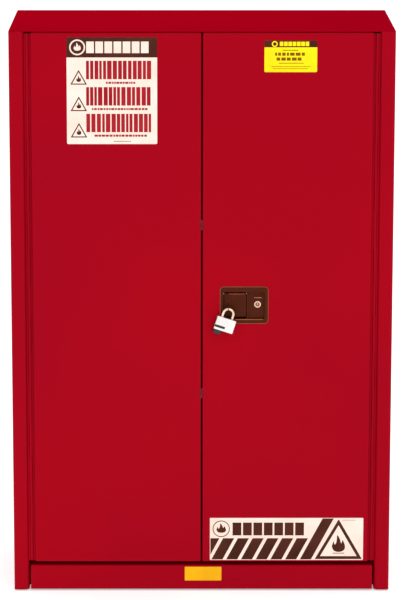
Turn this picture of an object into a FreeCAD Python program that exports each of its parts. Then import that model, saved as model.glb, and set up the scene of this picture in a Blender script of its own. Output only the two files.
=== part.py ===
import FreeCAD, Part
import os
import re

# Flammable storage cabinet: double-wall steel body, two doors on piano hinges, paddle latch
# with a three-point bolt, padlock, shelves, vents and levelling feet. Millimetres.
# +Z up, the front faces -Y, the origin is the middle of the footprint at floor level.

driving = {
    # body
    "width": 1092, "depth": 457, "height": 1651, "skin": 1.2, "wall": 41, "base_gap": 4,
    "stile": 42, "groove": 19, "lip": 2.4, "hem": 12,
    "rail_top": 77.7, "rail_lift": 2, "rail_gap": 11.3, "rail_fit": 5, "sill_top": 127, "sill_flange": 26,
    "header_flange": 40, "sump_floor": 76, "base_floor": 38,
    # doors
    "seam": 4.5, "door_clear": 2, "door_top_gap": 2.1,
    "stiffener_wide": 60, "stiffener_wall": 1.5,
    # piano hinges
    "hinge_offset": 9, "hinge_set": 3, "knuckle_radius": 3.5, "pin_radius": 1.6, "pin_fit": 0.05,
    "leaf": 1.2, "leaf_reach": 27, "hinge_margin": 3, "knuckle_gap": 0.5, "strip_set": 2.2,
    "strip_gap": 0.5, "knuckles": 15,
    # handle
    "handle_x": 121.5, "handle_z": 858, "handle_wide": 139, "handle_high": 109, "rim_radius": 11,
    "rim_proud": 2.5, "recess_left": 62, "recess_right": 181, "recess_low": 817, "recess_high": 897,
    "divider": 129, "divider_wide": 4, "housing_wall": 2, "tub_depth": 24, "pad_set": 6,
    "pad_thick": 3, "cutout_fit": 0.5, "key_fit": 0.05, "pocket_left": 11, "pocket_right": 12,
    "pocket_low": 20, "pocket_high": 32, "pocket_deep": 2, "finger_slot_low": 22, "finger_slot_up": 5,
    "pivot_set": 10, "pivot_drop": 7, "barrel_radius": 5, "paddle_pin_radius": 2.5,
    "paddle_set": 3, "paddle_thick": 3, "paddle_side_fit": 2, "paddle_lift": 4, "paddle_curl": 8,
    "spring_left": 100, "spring_right": 116, "spring_wire": 1.2, "spring_radius": 3.25,
    # latch works
    "cam_x": 112, "cam_drop": 17.6, "cam_gap": 2, "cam_thick": 3, "cam_arm": 30, "cam_tilt": 15,
    "arm_half": 6, "crank_pin": 3, "crank_pin_long": 5.5, "finger_offset": 24, "finger_half": 3,
    "stud_radius": 4, "stud_head": 8, "stud_play": 0.3, "stud_washer": 1.5, "stud_end": 1,
    "rod_gap": 1, "rod_thick": 4, "rod_half": 7, "latch_room": 16.8,
    "slot_fit": 0.5, "slot_reach": 4.75, "rod_end": 9,
    "bullet_radius": 5, "bullet_in": 12, "bullet_long": 34, "bullet_tip": 8, "tip_gap": 1,
    "head_thick": 8, "bolt_set": 6, "bolt_long": 26, "bolt_bar": 28, "bolt_block": 16,
    "guide_half": 12, "guide_high": 20, "guide_fit": 0.25, "guide_near": 220, "guide_top": 160,
    "guide_low": 170, "guide_wall": 3, "slot_margin": 2,
    "strike_thick": 2, "strike_half": 20, "strike_fit": 1,
    # key lock
    "key_x": 160, "key_z": 859.5, "key_radius": 10, "key_set": 2, "key_gap": 0.5, "keyway_deep": 6,
    "tongue_gap": 0.5, "tongue_thick": 2, "tongue_half": 5, "tongue_long": 24, "keyway": 1.6,
    # padlock
    "lug_x": 76, "hang_z": 849.6, "lock_plane": 15, "lug_half": 2, "lug_hole": 6.5, "lug_wall": 4.5,
    "hang_gap": 0.6,
    "shackle_radius": 14.5, "shackle_wire": 4, "shackle_high": 11.5, "heel_deep": 24,
    "toe_deep": 9, "lock_wide": 57, "lock_high": 39.5, "lock_thick": 22, "lock_tilt": 18,
    "socket_fit": 0.1, "lock_edge": 3, "band_high": 4, "band_up": 9, "band_long": 31,
    "cap_wide": 25, "cap_high": 12,
    # shelves
    "shelf_low_z": 560, "shelf_high_z": 1060, "shelf_lip": 32, "shelf_front": 80, "shelf_back": 9,
    "shelf_side_fit": 3, "shelf_edge": 8, "standard_wide": 25, "standard_deep": 8,
    "standard_wall": 1.5, "standard_inset": 70, "standard_lift": 60, "slot_pitch": 76,
    "slot_high": 14, "slot_wide": 6, "clip_high": 22, "clip_ledge": 14, "clip_thick": 3,
    # vents
    "vent_low_z": 230, "vent_down": 201, "vent_inset": 120, "vent_bore": 24, "vent_wall": 5,
    "collar_proud": 4, "collar_wide": 8, "plug_fit": 0.1, "plug_long": 16, "cap_radius": 30,
    "cap_thick": 6, "grip_high": 8, "grip_half": 5, "gasket_thick": 1.5, "arrester_long": 8,
    # feet, earth stud, labels
    "foot_radius": 20, "foot_thick": 8, "foot_stud": 5, "foot_fit": 0.06, "foot_top": 35,
    "foot_inset": 45, "bracket_thick": 6, "bracket_z": 24, "bracket_wide": 88,
    "earth_z": 180, "earth_inset": 60, "earth_radius": 4, "earth_proud": 16, "earth_nut": 8,
    "film": 0.4,
    "left_label_in": 102, "left_label_wide": 256, "left_label_top": 13.4, "left_label_high": 305.7,
    "right_label_in": 176, "right_label_wide": 149, "right_label_top": 22.9, "right_label_high": 89.8,
    "low_label_in": 22, "low_label_out": 14, "low_label_up": 5.2, "low_label_high": 127.6,
    "rail_label_left": 49, "rail_label_right": 58, "rail_label_up": 25.4, "rail_label_high": 41.9,
}

# Places worked out from the driving sizes; each stays an expression, so that it follows them.
places = {
    "half": "width / 2",
    "lock_proud": "lock_plane + lock_thick / 2",
    "front": "(lock_proud - depth) / 2",
    "back": "front + depth",
    "tub_back": "front + tub_depth + housing_wall",
    "door_back": "tub_back + latch_room + skin",
    "frame": "door_back + door_clear",
    "top": "height - skin",
    "ceiling": "height - wall",
    "inner": "half - wall",
    "inner_back": "back - wall",
    "post": "half - stile",
    "edge": "post - groove",
    "rail_end": "post - rail_fit",
    "free": "seam / 2",
    "door_low": "rail_top + rail_gap",
    "door_high": "height - lip - door_top_gap",
    "hinge_x": "post - hinge_offset",
    "hinge_y": "front + hinge_set",
    "leaf_low": "door_low + hinge_margin",
    "leaf_high": "door_high - hinge_margin",
    "handle_left": "handle_x - handle_wide / 2",
    "handle_right": "handle_x + handle_wide / 2",
    "pivot_y": "front + pivot_set",
    "pivot_z": "recess_high - pivot_drop",
    "cam_y": "tub_back + cam_gap",
    "cam_z": "pivot_z - cam_drop",
    "rod_y": "cam_y + cam_thick + rod_gap",
    "rod_back": "rod_y + rod_thick",
    "crank_side": "cam_arm * (1 + cos(cam_tilt)) / 2",
    "crank_drop": "cam_arm * sin(cam_tilt)",
    "bolt_stroke": "2 * crank_drop",
    "upper_x": "cam_x - crank_side",
    "lower_x": "cam_x + crank_side",
    "bolt_z": "cam_z - crank_side",
    "bullet_y": "frame + bullet_in",
    "upper_tip": "ceiling - tip_gap",
    "lower_tip": "sill_top + tip_gap",
    "key_end": "rod_back + key_gap",
    "key_back": "key_end + tongue_gap",
    "lug_z": "hang_z + lug_hole - shackle_wire - hang_gap",
    "lock_y": "front - lock_plane",
    "lock_top": "0 - shackle_high",
    "lock_low": "0 - shackle_high - lock_high",
    "shelf_side": "inner - standard_deep - shelf_side_fit",
    "standard_low": "sill_top + standard_lift",
    "standard_high": "ceiling - standard_lift",
    "vent_y": "back - vent_inset",
    "vent_high_z": "height - vent_down",
    "foot_x": "half - foot_inset",
}

doc = FreeCAD.newDocument("cabinet")
dims = doc.addObject("Spreadsheet::Sheet", "dims")
for row, (alias, number) in enumerate(driving.items(), start=1):
    dims.set(f"A{row}", alias)
    dims.set(f"B{row}", str(number))
    dims.setAlias(f"B{row}", alias)
doc.recompute()

nodes = {}
word = re.compile(r"[a-z_]+")


def expression(text):
    """Spell out the named places and point every alias at the sheet."""
    def spell(match):
        name = match.group(0)
        if name in places:
            return "(" + expression(places[name]) + ")"
        return "dims." + name if name in driving else name
    return word.sub(spell, str(text))


def bind(item, **sizes):
    for name, text in sizes.items():
        item.setExpression(name, expression(text))
    return item


def put(item, x="0", y="0", z="0"):
    for axis, text in (("x", x), ("y", y), ("z", z)):
        item.setExpression("Placement.Base." + axis, expression(text))
    return item


def slab(x, y, z, side=1):
    """A box from its lowest and highest place along each axis; side -1 mirrors it across X."""
    item = doc.addObject("Part::Box", "slab")
    bind(item, Length=f"({x[1]}) - ({x[0]})", Width=f"({y[1]}) - ({y[0]})",
         Height=f"({z[1]}) - ({z[0]})")
    return put(item, x[0] if side > 0 else f"0 - ({x[1]})", y[0], z[0])


turns = {
    "x": FreeCAD.Rotation(FreeCAD.Vector(0, 1, 0), 90),
    "-x": FreeCAD.Rotation(FreeCAD.Vector(0, 1, 0), -90),
    "y": FreeCAD.Rotation(FreeCAD.Vector(1, 0, 0), -90),
    "z": FreeCAD.Rotation(),
    "-z": FreeCAD.Rotation(FreeCAD.Vector(1, 0, 0), 180),
}


def rod(radius, length, at, axis="z"):
    item = doc.addObject("Part::Cylinder", "rod")
    bind(item, Radius=radius, Height=length)
    item.Placement.Rotation = turns[axis]
    return put(item, *at)


def taper(low_radius, high_radius, length, at, axis="z"):
    item = doc.addObject("Part::Cone", "taper")
    bind(item, Radius1=low_radius, Radius2=high_radius, Height=length)
    item.Placement.Rotation = turns[axis]
    return put(item, *at)


def fuse(*items):
    item = doc.addObject("Part::MultiFuse", "fuse")
    item.Shapes = list(items)
    item.Refine = True
    return item


def group(*items):
    item = doc.addObject("Part::Compound", "group")
    item.Links = list(items)
    return item


def cut(base, *tools):
    item = doc.addObject("Part::Cut", "cut")
    item.Base = base
    item.Tool = tools[0] if len(tools) == 1 else group(*tools)
    return item


def node(name, item):
    """Name a finished sub-part; its label names its file."""
    item.Label = name
    nodes[name] = item
    return item


def rounded_plate(x, y, z, radius):
    """A plate facing the front with round corners."""
    wide = slab(x, y, (f"{z[0]} + {radius}", f"{z[1]} - {radius}"))
    tall = slab((f"{x[0]} + {radius}", f"{x[1]} - {radius}"), y, z)
    corners = [rod(radius, f"({y[1]}) - ({y[0]})", (cx, y[0], cz), "y")
               for cx in (f"{x[0]} + {radius}", f"{x[1]} - {radius}")
               for cz in (f"{z[0]} + {radius}", f"{z[1]} - {radius}")]
    return fuse(wide, tall, *corners)


sides = (("left", -1), ("right", 1))


def side_x(side, text):
    return text if side > 0 else f"0 - ({text})"


def vent_height(side):
    return "vent_low_z" if side < 0 else "vent_high_z"


# ---- body sheets ----

def body_sheets():
    for name, side in sides:
        axis = "x" if side > 0 else "-x"
        hole = rod("vent_bore + vent_wall", "2 * wall",
                   (side_x(side, "half - 1.5 * wall"), "vent_y", vent_height(side)), axis)
        tools = [hole]
        if side < 0:
            tools.append(rod("earth_radius + pin_fit", "2 * skin",
                             ("0 - half - skin / 2", "back - earth_inset", "earth_z"), "x"))
        sheet = fuse(
            slab(("half - skin", "half"), ("front", "back"), ("base_gap", "top"), side),
            slab(("post", "half"), ("front", "front + skin"), ("base_gap", "top"), side),
            slab(("post", "post + skin"), ("front", "frame"), ("base_gap", "top"), side))
        node(f"outer_{name}_side", cut(sheet, *tools))
        inner = slab(("inner", "inner + skin"), ("frame + skin", "inner_back"),
                     ("sump_floor", "ceiling"), side)
        node(f"inner_{name}_side", cut(inner, rod(
            "vent_bore + vent_wall", "2 * wall",
            (side_x(side, "half - 1.5 * wall"), "vent_y", vent_height(side)), axis)))
    node("hinge_posts", group(*[slab(("edge - skin", "max(post; inner) + skin"), ("frame", "frame + skin"),
                                     ("base_gap", "top"), side) for _, side in sides]))
    across = ("0 - half + skin", "half - skin")
    node("outer_back", slab(across, ("back - skin", "back"), ("base_gap", "top")))
    node("top_panel", fuse(
        slab(("0 - half", "half"), ("front", "back"), ("top", "height")),
        slab(("0 - post", "post"), ("front", "front + hem"), ("height - lip", "top"))))
    node("base_panel", slab(across, ("frame + skin", "back - skin"),
                            ("base_floor", "base_floor + skin")))
    room = ("0 - inner", "inner")
    node("inner_back", slab(("0 - inner - skin", "inner + skin"), ("inner_back", "inner_back + skin"),
                            ("sump_floor", "ceiling")))
    node("ceiling_panel", slab(("0 - inner - skin", "inner + skin"),
                               ("frame + header_flange", "inner_back + skin"),
                               ("ceiling", "ceiling + skin")))
    pan_front = "frame + sill_flange"
    node("sump_pan", fuse(
        slab(room, (f"{pan_front} - skin", "inner_back"), ("sump_floor", "sump_floor + skin")),
        slab(room, (f"{pan_front} - skin", pan_front), ("sump_floor", "sill_top - skin")),
        slab(room, ("inner_back - skin", "inner_back"), ("sump_floor", "sill_top")),
        *[slab(("inner - skin", "inner"), (pan_front, "inner_back"), ("sump_floor", "sill_top"), side)
          for _, side in sides]))


def front_frame():
    between = ("0 - edge + skin", "edge - skin")
    strike_hole = [("upper_x", "ceiling - skin"), ("lower_x", "sill_top - 2 * skin")]
    holes = [rod("bullet_radius + strike_fit", "4 * skin", (x, "bullet_y", z))
             for x, z in strike_hole]
    header = fuse(
        slab(between, ("frame", "frame + skin"), ("ceiling", "top")),
        slab(between, ("frame", "frame + header_flange"), ("ceiling", "ceiling + skin")))
    node("header", cut(header, holes[0]))
    rail = fuse(
        slab(("0 - rail_end", "rail_end"), ("front", "front + skin"), ("base_gap + rail_lift", "rail_top")),
        slab(("0 - rail_end", "rail_end"), ("front", "frame"), ("rail_top - skin", "rail_top")),
        *[slab(("rail_end - skin", "rail_end"), ("front", "frame"),
               ("base_gap + rail_lift", "rail_top"), side) for _, side in sides],
        slab(between, ("frame - skin", "frame + skin"), ("rail_top - skin", "sill_top")),
        slab(between, ("frame", "frame + sill_flange"), ("sill_top - skin", "sill_top")))
    node("bottom_rail", cut(rail, holes[1]))
    plates = []
    for x, low in (("upper_x", "ceiling + skin"), ("lower_x", "sill_top - skin - strike_thick")):
        plate = slab((f"{x} - strike_half", f"{x} + strike_half"),
                     ("frame + 2 * skin", "frame + sill_flange - 2 * skin"),
                     (low, f"{low} + strike_thick"))
        plates.append(cut(plate, rod("bullet_radius + strike_fit", "3 * strike_thick",
                                     (x, "bullet_y", f"{low} - strike_thick"))))
    node("latch_strikes", group(*plates))


# ---- doors ----

def slot_tool(x, low, high):
    return slab((f"{x} - rod_half - slot_margin", f"{x} + rod_half + slot_margin"),
                ("door_back - 2 * skin", "door_back + skin"), (low, high))


def doors():
    rim = "door_back - skin"
    for name, side in sides:
        panel = fuse(
            slab(("free", "edge"), ("front", "front + skin"), ("door_low", "door_high"), side),
            slab(("free", "free + skin"), ("front", rim), ("door_low", "door_high"), side),
            slab(("edge - skin", "edge"), ("front", rim), ("door_low", "door_high"), side),
            slab(("free", "edge"), ("front", rim), ("door_low", "door_low + skin"), side),
            slab(("free", "edge"), ("front", rim), ("door_high - skin", "door_high"), side))
        bolt_hole = rod("bullet_radius + strike_fit", "4 * skin",
                        ("free - skin" if side > 0 else "0 - free - 3 * skin",
                         "rod_y + rod_thick / 2", "bolt_z"), "x")
        tools = [bolt_hole]
        if side > 0:
            tools.append(slab(
                ("recess_left - 2 * housing_wall - cutout_fit",
                 "recess_right + 2 * housing_wall + cutout_fit"), ("front - skin", "front + 2 * skin"),
                ("recess_low - 2 * housing_wall - cutout_fit",
                 "recess_high + 2 * housing_wall + cutout_fit")))
        node(f"{name}_door_outer", cut(panel, *tools))
        back = slab(("free", "edge"), (rim, "door_back"), ("door_low", "door_high"), side)
        if side > 0:
            back = cut(back,
                       slot_tool("upper_x", "upper_tip - bullet_long - bolt_stroke - slot_margin",
                                 "upper_tip - bullet_long + head_thick + slot_margin"),
                       slot_tool("lower_x", "lower_tip + bullet_long - head_thick - slot_margin",
                                 "lower_tip + bullet_long + bolt_stroke + slot_margin"))
        node(f"{name}_door_inner", back)
        middle = "(free + edge) / 2"
        node(f"{name}_door_stiffener", fuse(
            slab((f"{middle} - stiffener_wide / 2", f"{middle} + stiffener_wide / 2"),
                 ("front + skin", "front + skin + stiffener_wall"),
                 ("door_low + skin", "door_high - skin"), side),
            *[slab((f"{middle} + {start}", f"{middle} + {start} + stiffener_wall"),
                   ("front + skin", rim), ("door_low + skin", "door_high - skin"), side)
              for start in ("0 - stiffener_wide / 2", "stiffener_wide / 2 - stiffener_wall")]))
    node("centre_strike", cut(
        slab(("0 - free - skin - strike_thick", "0 - free - skin"),
             ("front + 2 * skin", "door_back - 3 * skin"),
             ("bolt_z - strike_half", "bolt_z + strike_half")),
        rod("bullet_radius + strike_fit", "4 * strike_thick",
            ("0 - free - skin - 2 * strike_thick", "rod_y + rod_thick / 2", "bolt_z"), "x")))


def piano_hinges():
    knuckles = driving["knuckles"]
    pitch = "(leaf_high - leaf_low) / knuckles"
    pins = []
    for name, side in sides:
        at = side_x(side, "hinge_x")
        strip_y = ("hinge_y + strip_set", "hinge_y + strip_set + leaf")
        for leaf_name, first, strip, flange in (
                ("frame", 0, ("hinge_x + knuckle_radius + strip_gap", "post"), ("post - leaf", "post")),
                ("door", 1, ("edge", "hinge_x - knuckle_radius - strip_gap"), ("edge", "edge + leaf"))):
            pieces = [slab(strip, strip_y, ("leaf_low", "leaf_high"), side),
                      slab(flange, ("hinge_y + strip_set", "hinge_y + leaf_reach"),
                           ("leaf_low", "leaf_high"), side)]
            finger = ("hinge_x", strip[0]) if first == 0 else (strip[1], "hinge_x")
            for index in range(first, knuckles, 2):
                low = f"leaf_low + {index} * {pitch} + knuckle_gap / 2"
                high = f"leaf_low + {index + 1} * {pitch} - knuckle_gap / 2"
                pieces.append(rod("knuckle_radius", f"({high}) - ({low})", (at, "hinge_y", low)))
                pieces.append(slab(finger, strip_y, (low, high), side))
            bore = rod("pin_radius + pin_fit", "leaf_high - leaf_low", (at, "hinge_y", "leaf_low"))
            node(f"{name}_hinge_{leaf_name}_leaf", cut(fuse(*pieces), bore))
        pins.append(rod("pin_radius", "leaf_high - leaf_low", (at, "hinge_y", "leaf_low")))
    node("hinge_pins", group(*pins))


# ---- paddle handle ----

def handle():
    wall = "housing_wall"
    pin_long = "divider - recess_left + divider_wide + housing_wall / 2"
    pin_at = ("recess_left - 3 * housing_wall / 4", "pivot_y", "pivot_z")
    rim = rounded_plate(("handle_left", "handle_right"), ("front - rim_proud", "front"),
                        ("handle_z - handle_high / 2", "handle_z + handle_high / 2"), "rim_radius")
    pad = slab((f"recess_left - {wall}", f"recess_right + {wall}"),
               ("front - rim_proud", "front + pad_set + pad_thick"),
               (f"recess_low - {wall}", f"recess_high + {wall}"))
    tub = slab((f"recess_left - {wall}", "divider + divider_wide"), ("front", "tub_back"),
               (f"recess_low - {wall}", f"recess_high + {wall}"))
    tools = [
        slab(("recess_left", "divider"), ("front - 2 * rim_proud", "front + tub_depth"),
             ("recess_low", "recess_high")),
        slab(("divider", "recess_right"), ("front - 2 * rim_proud", "front + paddle_set"),
             ("recess_low", "recess_high")),
        slab(("divider + divider_wide", "recess_right"), ("front", "front + pad_set"),
             ("recess_low", "recess_high")),
        slab(("key_x - pocket_left", "key_x + pocket_right"), ("front", "front + pad_set + pocket_deep"),
             ("key_z + pocket_low", "key_z + pocket_high")),
        rod("key_radius + key_fit", "2 * tub_depth", ("key_x", "front - pad_set", "key_z"), "y"),
        rod("paddle_pin_radius", pin_long, pin_at, "x"),
        slab(("cam_x - finger_offset - 1.4 * finger_half", "cam_x - finger_offset + 1.4 * finger_half"),
             ("front + tub_depth - housing_wall", "tub_back + housing_wall"),
             ("pivot_z - finger_slot_low", "pivot_z + finger_slot_up")),
    ]
    node("paddle_housing", cut(fuse(rim, pad, tub), *tools))
    node("paddle_pin", rod("paddle_pin_radius", pin_long, pin_at, "x"))

    left, right = "recess_left + paddle_side_fit", "divider - paddle_side_fit"
    low = "recess_low + paddle_lift"
    face = ("front + paddle_set", "front + paddle_set + paddle_thick")
    lug = fuse(
        slab(("lug_x - lug_half", "lug_x + lug_half"), ("lock_y", "front + paddle_set + 1"),
             ("lug_z - lug_hole - lug_wall", "lug_z + lug_hole + lug_wall")),
        rod("lug_hole + lug_wall", "2 * lug_half", ("lug_x - lug_half", "lock_y", "lug_z"), "x"))
    body = fuse(
        slab((left, right), face, (low, "pivot_z")),
        slab((left, right), ("front + paddle_set", "front + paddle_set + paddle_curl"),
             (low, f"{low} + paddle_thick")),
        rod("barrel_radius", f"({right}) - ({left})", (left, "pivot_y", "pivot_z"), "x"),
        slab(("cam_x - finger_offset - finger_half", "cam_x - finger_offset + finger_half"),
             ("pivot_y", "cam_y + cam_thick"), ("pivot_z - finger_half", "pivot_z + finger_half")),
        lug)
    window = slab(("spring_left", "spring_right"), ("front + paddle_set + paddle_thick", "front + 30"),
                  ("pivot_z - 6", "pivot_z + 6"))
    node("paddle_handle", cut(
        body, window,
        rod("paddle_pin_radius + pin_fit", "divider - recess_left", (left, "pivot_y", "pivot_z"), "x"),
        rod("lug_hole", "6 * lug_half", ("lug_x - 3 * lug_half", "lock_y", "lug_z"), "x")))


def paddle_spring():
    """Torsion spring round the paddle pin, in the gap of the barrel."""
    wire = dims.get("spring_wire")
    length = dims.get("spring_right") - dims.get("spring_left") - 2 * wire
    radius = dims.get("spring_radius")
    helix = Part.makeHelix(length / 5, length, radius)
    start = helix.Edges[0].valueAt(helix.Edges[0].FirstParameter)
    ring = Part.Wire(Part.makeCircle(wire / 2, start, FreeCAD.Vector(0, 1, 0)))
    coil = Part.Wire(helix.Edges).makePipeShell([ring], True, True)
    item = doc.addObject("Part::Feature", "coil")
    item.Shape = coil
    item.Placement.Rotation = turns["x"]
    node("paddle_spring", put(item, "spring_left + spring_wire", "pivot_y", "pivot_z"))


# ---- latch works ----

def turned(item, angle, x, z):
    """Turn an item built about the origin by an angle about Y, then move it to x, z."""
    item.Placement.Rotation = FreeCAD.Rotation(FreeCAD.Vector(0, 1, 0), 0)
    item.setExpression("Placement.Rotation.Angle", expression(angle))
    return put(item, x, "0", z)


def latch():
    layer = ("cam_y", "cam_y + cam_thick")
    arms = [slab(("0 - cam_arm", "cam_arm"), layer, ("0 - arm_half", "arm_half")),
            slab(("0 - arm_half", "arm_half"), layer, ("0 - cam_arm", "0"))]
    ends = [(x, z) for x, z in (("0 - cam_arm", "0"), ("cam_arm", "0"), ("0", "0 - cam_arm"))]
    pads = [rod("arm_half", "cam_thick", (x, "cam_y", z), "y") for x, z in ends]
    pins = [rod("crank_pin", "cam_thick + crank_pin_long", (x, "cam_y", z), "y") for x, z in ends]
    hub = rod("2 * stud_radius", "cam_thick", ("0", "cam_y", "0"), "y")
    cam = cut(fuse(*arms, *pads, *pins, hub),
              rod("stud_radius + pin_fit", "3 * cam_thick", ("0", "cam_y - cam_thick", "0"), "y"))
    node("latch_cam", turned(cam, "cam_tilt", "cam_x", "cam_z"))
    node("cam_stud", fuse(
        rod("stud_radius", "cam_y + cam_thick - tub_back + stud_end", ("cam_x", "tub_back", "cam_z"), "y"),
        rod("stud_head", "cam_gap - stud_play", ("cam_x", "tub_back", "cam_z"), "y"),
        rod("stud_head", "stud_washer", ("cam_x", "cam_y + cam_thick + stud_play", "cam_z"), "y")))

    slot_high = "(crank_pin + slot_fit)"
    for name, at, pin_z, tip, way in (
            ("upper", "upper_x", "cam_z + crank_drop", "upper_tip", 1),
            ("lower", "lower_x", "cam_z - crank_drop", "lower_tip", -1)):
        root = f"{tip} - {way} * bullet_long"
        shoulder = f"{root} + {way} * head_thick"
        foot = f"{pin_z} - {way} * rod_end"
        bar_z = (foot, shoulder) if way > 0 else (shoulder, foot)
        arm_z = (root, shoulder) if way > 0 else (shoulder, root)
        axis = "z" if way > 0 else "-z"
        bar = slab((f"{at} - rod_half", f"{at} + rod_half"), ("rod_y", "rod_back"), bar_z)
        slot = slab((f"{at} - slot_reach", f"{at} + slot_reach"), ("rod_y - 1", "rod_back + 1"),
                    (f"{pin_z} - {slot_high}", f"{pin_z} + {slot_high}"))
        arm = slab((f"{at} - rod_half", f"{at} + rod_half"),
                   ("rod_y", "bullet_y + bullet_radius"), arm_z)
        shank = rod("bullet_radius", "bullet_long - bullet_tip", (at, "bullet_y", root), axis)
        nose = taper("bullet_radius", "bullet_radius / 2", "bullet_tip",
                     (at, "bullet_y", f"{root} + {way} * (bullet_long - bullet_tip)"), axis)
        node(f"{name}_rod", cut(fuse(bar, arm, shank, nose), slot))

    pin_x = "cam_x - crank_drop"
    bolt_y = "rod_y + rod_thick / 2"
    bar = slab(("free + bolt_bar", f"{pin_x} + rod_end"), ("rod_y", "rod_back"),
               ("bolt_z - arm_half", "bolt_z + arm_half"))
    slot = slab((f"{pin_x} - {slot_high}", f"{pin_x} + {slot_high}"), ("rod_y - 1", "rod_back + 1"),
                ("bolt_z - slot_reach", "bolt_z + slot_reach"))
    shank = rod("bullet_radius", "bolt_long", ("free + bolt_set", bolt_y, "bolt_z"), "x")
    nose = taper("bullet_radius / 2", "bullet_radius", "bullet_tip",
                 ("free + bolt_set - bullet_tip", bolt_y, "bolt_z"), "x")
    node("centre_bolt", cut(fuse(bar, shank, nose), slot))

    guides = []
    for at, heights in (("upper_x", ("cam_z + guide_near", "ceiling - guide_top")),
                        ("lower_x", ("cam_z - guide_near", "sill_top + guide_low"))):
        for middle in heights:
            block = slab((f"{at} - guide_half", f"{at} + guide_half"),
                         ("rod_y - guide_wall", "door_back - skin"),
                         (f"{middle} - guide_high / 2", f"{middle} + guide_high / 2"))
            guides.append(cut(block, slab(
                (f"{at} - rod_half - guide_fit", f"{at} + rod_half + guide_fit"),
                ("rod_y - guide_fit", "rod_back + guide_fit"),
                (f"{middle} - guide_high", f"{middle} + guide_high"))))
    block = slab(("free + skin", "free + bolt_block"), ("rod_y - 2 * guide_wall", "door_back - skin"),
                 ("bolt_z - guide_half", "bolt_z + guide_half"))
    guides.append(cut(block, rod("bullet_radius + pin_fit", "2 * bolt_block",
                                 ("free", bolt_y, "bolt_z"), "x")))
    node("rod_guides", group(*guides))

    barrel = rod("key_radius", "key_end - front - key_set", ("key_x", "front + key_set", "key_z"), "y")
    neck = rod("tongue_half", "tongue_gap + tongue_thick", ("key_x", "key_end", "key_z"), "y")
    keyway = slab(("key_x - keyway / 2", "key_x + keyway / 2"), ("front", "front + key_set + keyway_deep"),
                  ("key_z - key_radius / 2", "key_z + key_radius / 2"))
    node("key_cylinder", cut(fuse(barrel, neck), keyway))
    node("lock_tongue", cut(
        slab(("key_x - tongue_half - 1", "key_x + tongue_half + 1"),
             ("key_back", "key_back + tongue_thick"),
             ("key_z - tongue_half - 1", "key_z + tongue_long")),
        rod("tongue_half", "4 * tongue_thick", ("key_x", "key_back - tongue_thick", "key_z"), "y")))


# ---- padlock, drawn upright about the middle of its shackle's bow and then hung with a tilt ----

def hang(name, item):
    item.Placement.Rotation = FreeCAD.Rotation(FreeCAD.Vector(0, 1, 0), 0)
    item.setExpression("Placement.Rotation.Angle", expression("lock_tilt"))
    return node(name, put(item, "lug_x", "lock_y", "hang_z - shackle_radius"))


def padlock():
    bow = doc.addObject("Part::Torus", "bow")
    bind(bow, Radius1="shackle_radius", Radius2="shackle_wire", Angle3="180")
    bow.Placement.Rotation = FreeCAD.Rotation(FreeCAD.Vector(1, 0, 0), 90)
    heel = rod("shackle_wire", "shackle_high + heel_deep", ("0 - shackle_radius", "0", "0"), "-z")
    toe = rod("shackle_wire", "shackle_high + toe_deep", ("shackle_radius", "0", "0"), "-z")
    hang("padlock_shackle", fuse(bow, heel, toe))

    half_thick = "lock_thick / 2"
    edge = "lock_edge"
    wide = ("0 - lock_wide / 2", "lock_wide / 2")
    case = fuse(
        slab(wide, (f"0 - {half_thick} + {edge}", f"{half_thick} - {edge}"), ("lock_low", "lock_top")),
        slab((f"{wide[0]} + {edge}", f"{wide[1]} - {edge}"), (f"0 - {half_thick}", half_thick),
             ("lock_low", "lock_top")),
        *[rod(edge, "lock_high", (x, y, "lock_low"))
          for x in (f"{wide[0]} + {edge}", f"{wide[1]} - {edge}")
          for y in (f"0 - {half_thick} + {edge}", f"{half_thick} - {edge}")])
    band_z = ("lock_low + band_up", "lock_low + band_up + band_high")
    band_x = (wide[0], f"{wide[0]} + band_long")
    cutters = [
        rod("shackle_wire + socket_fit", "heel_deep + 1", ("0 - shackle_radius", "0", "lock_top"), "-z"),
        rod("shackle_wire + socket_fit", "toe_deep + 1", ("shackle_radius", "0", "lock_top"), "-z"),
        slab((f"{band_x[0]} - 1", band_x[1]), (f"0 - {half_thick} - 1", f"1 - {half_thick}"), band_z)]
    hang("padlock_body", cut(case, *cutters))
    band = slab((f"{band_x[0]} + {edge}", band_x[1]),
                (f"0 - {half_thick}", f"1 - {half_thick}"), band_z)
    cap = rod("cap_wide / 2", "cap_high", (f"{wide[0]} + cap_wide / 2 + 1", "0", "lock_low"), "-z")
    trimmed = doc.addObject("Part::Common", "cap")
    trimmed.Base = cap
    trimmed.Tool = slab(wide, (f"1 - {half_thick}", f"{half_thick} - 1"),
                        ("lock_low - cap_high", "lock_low"))
    hang("padlock_bumper", group(band, trimmed))


# ---- shelves ----

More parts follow.
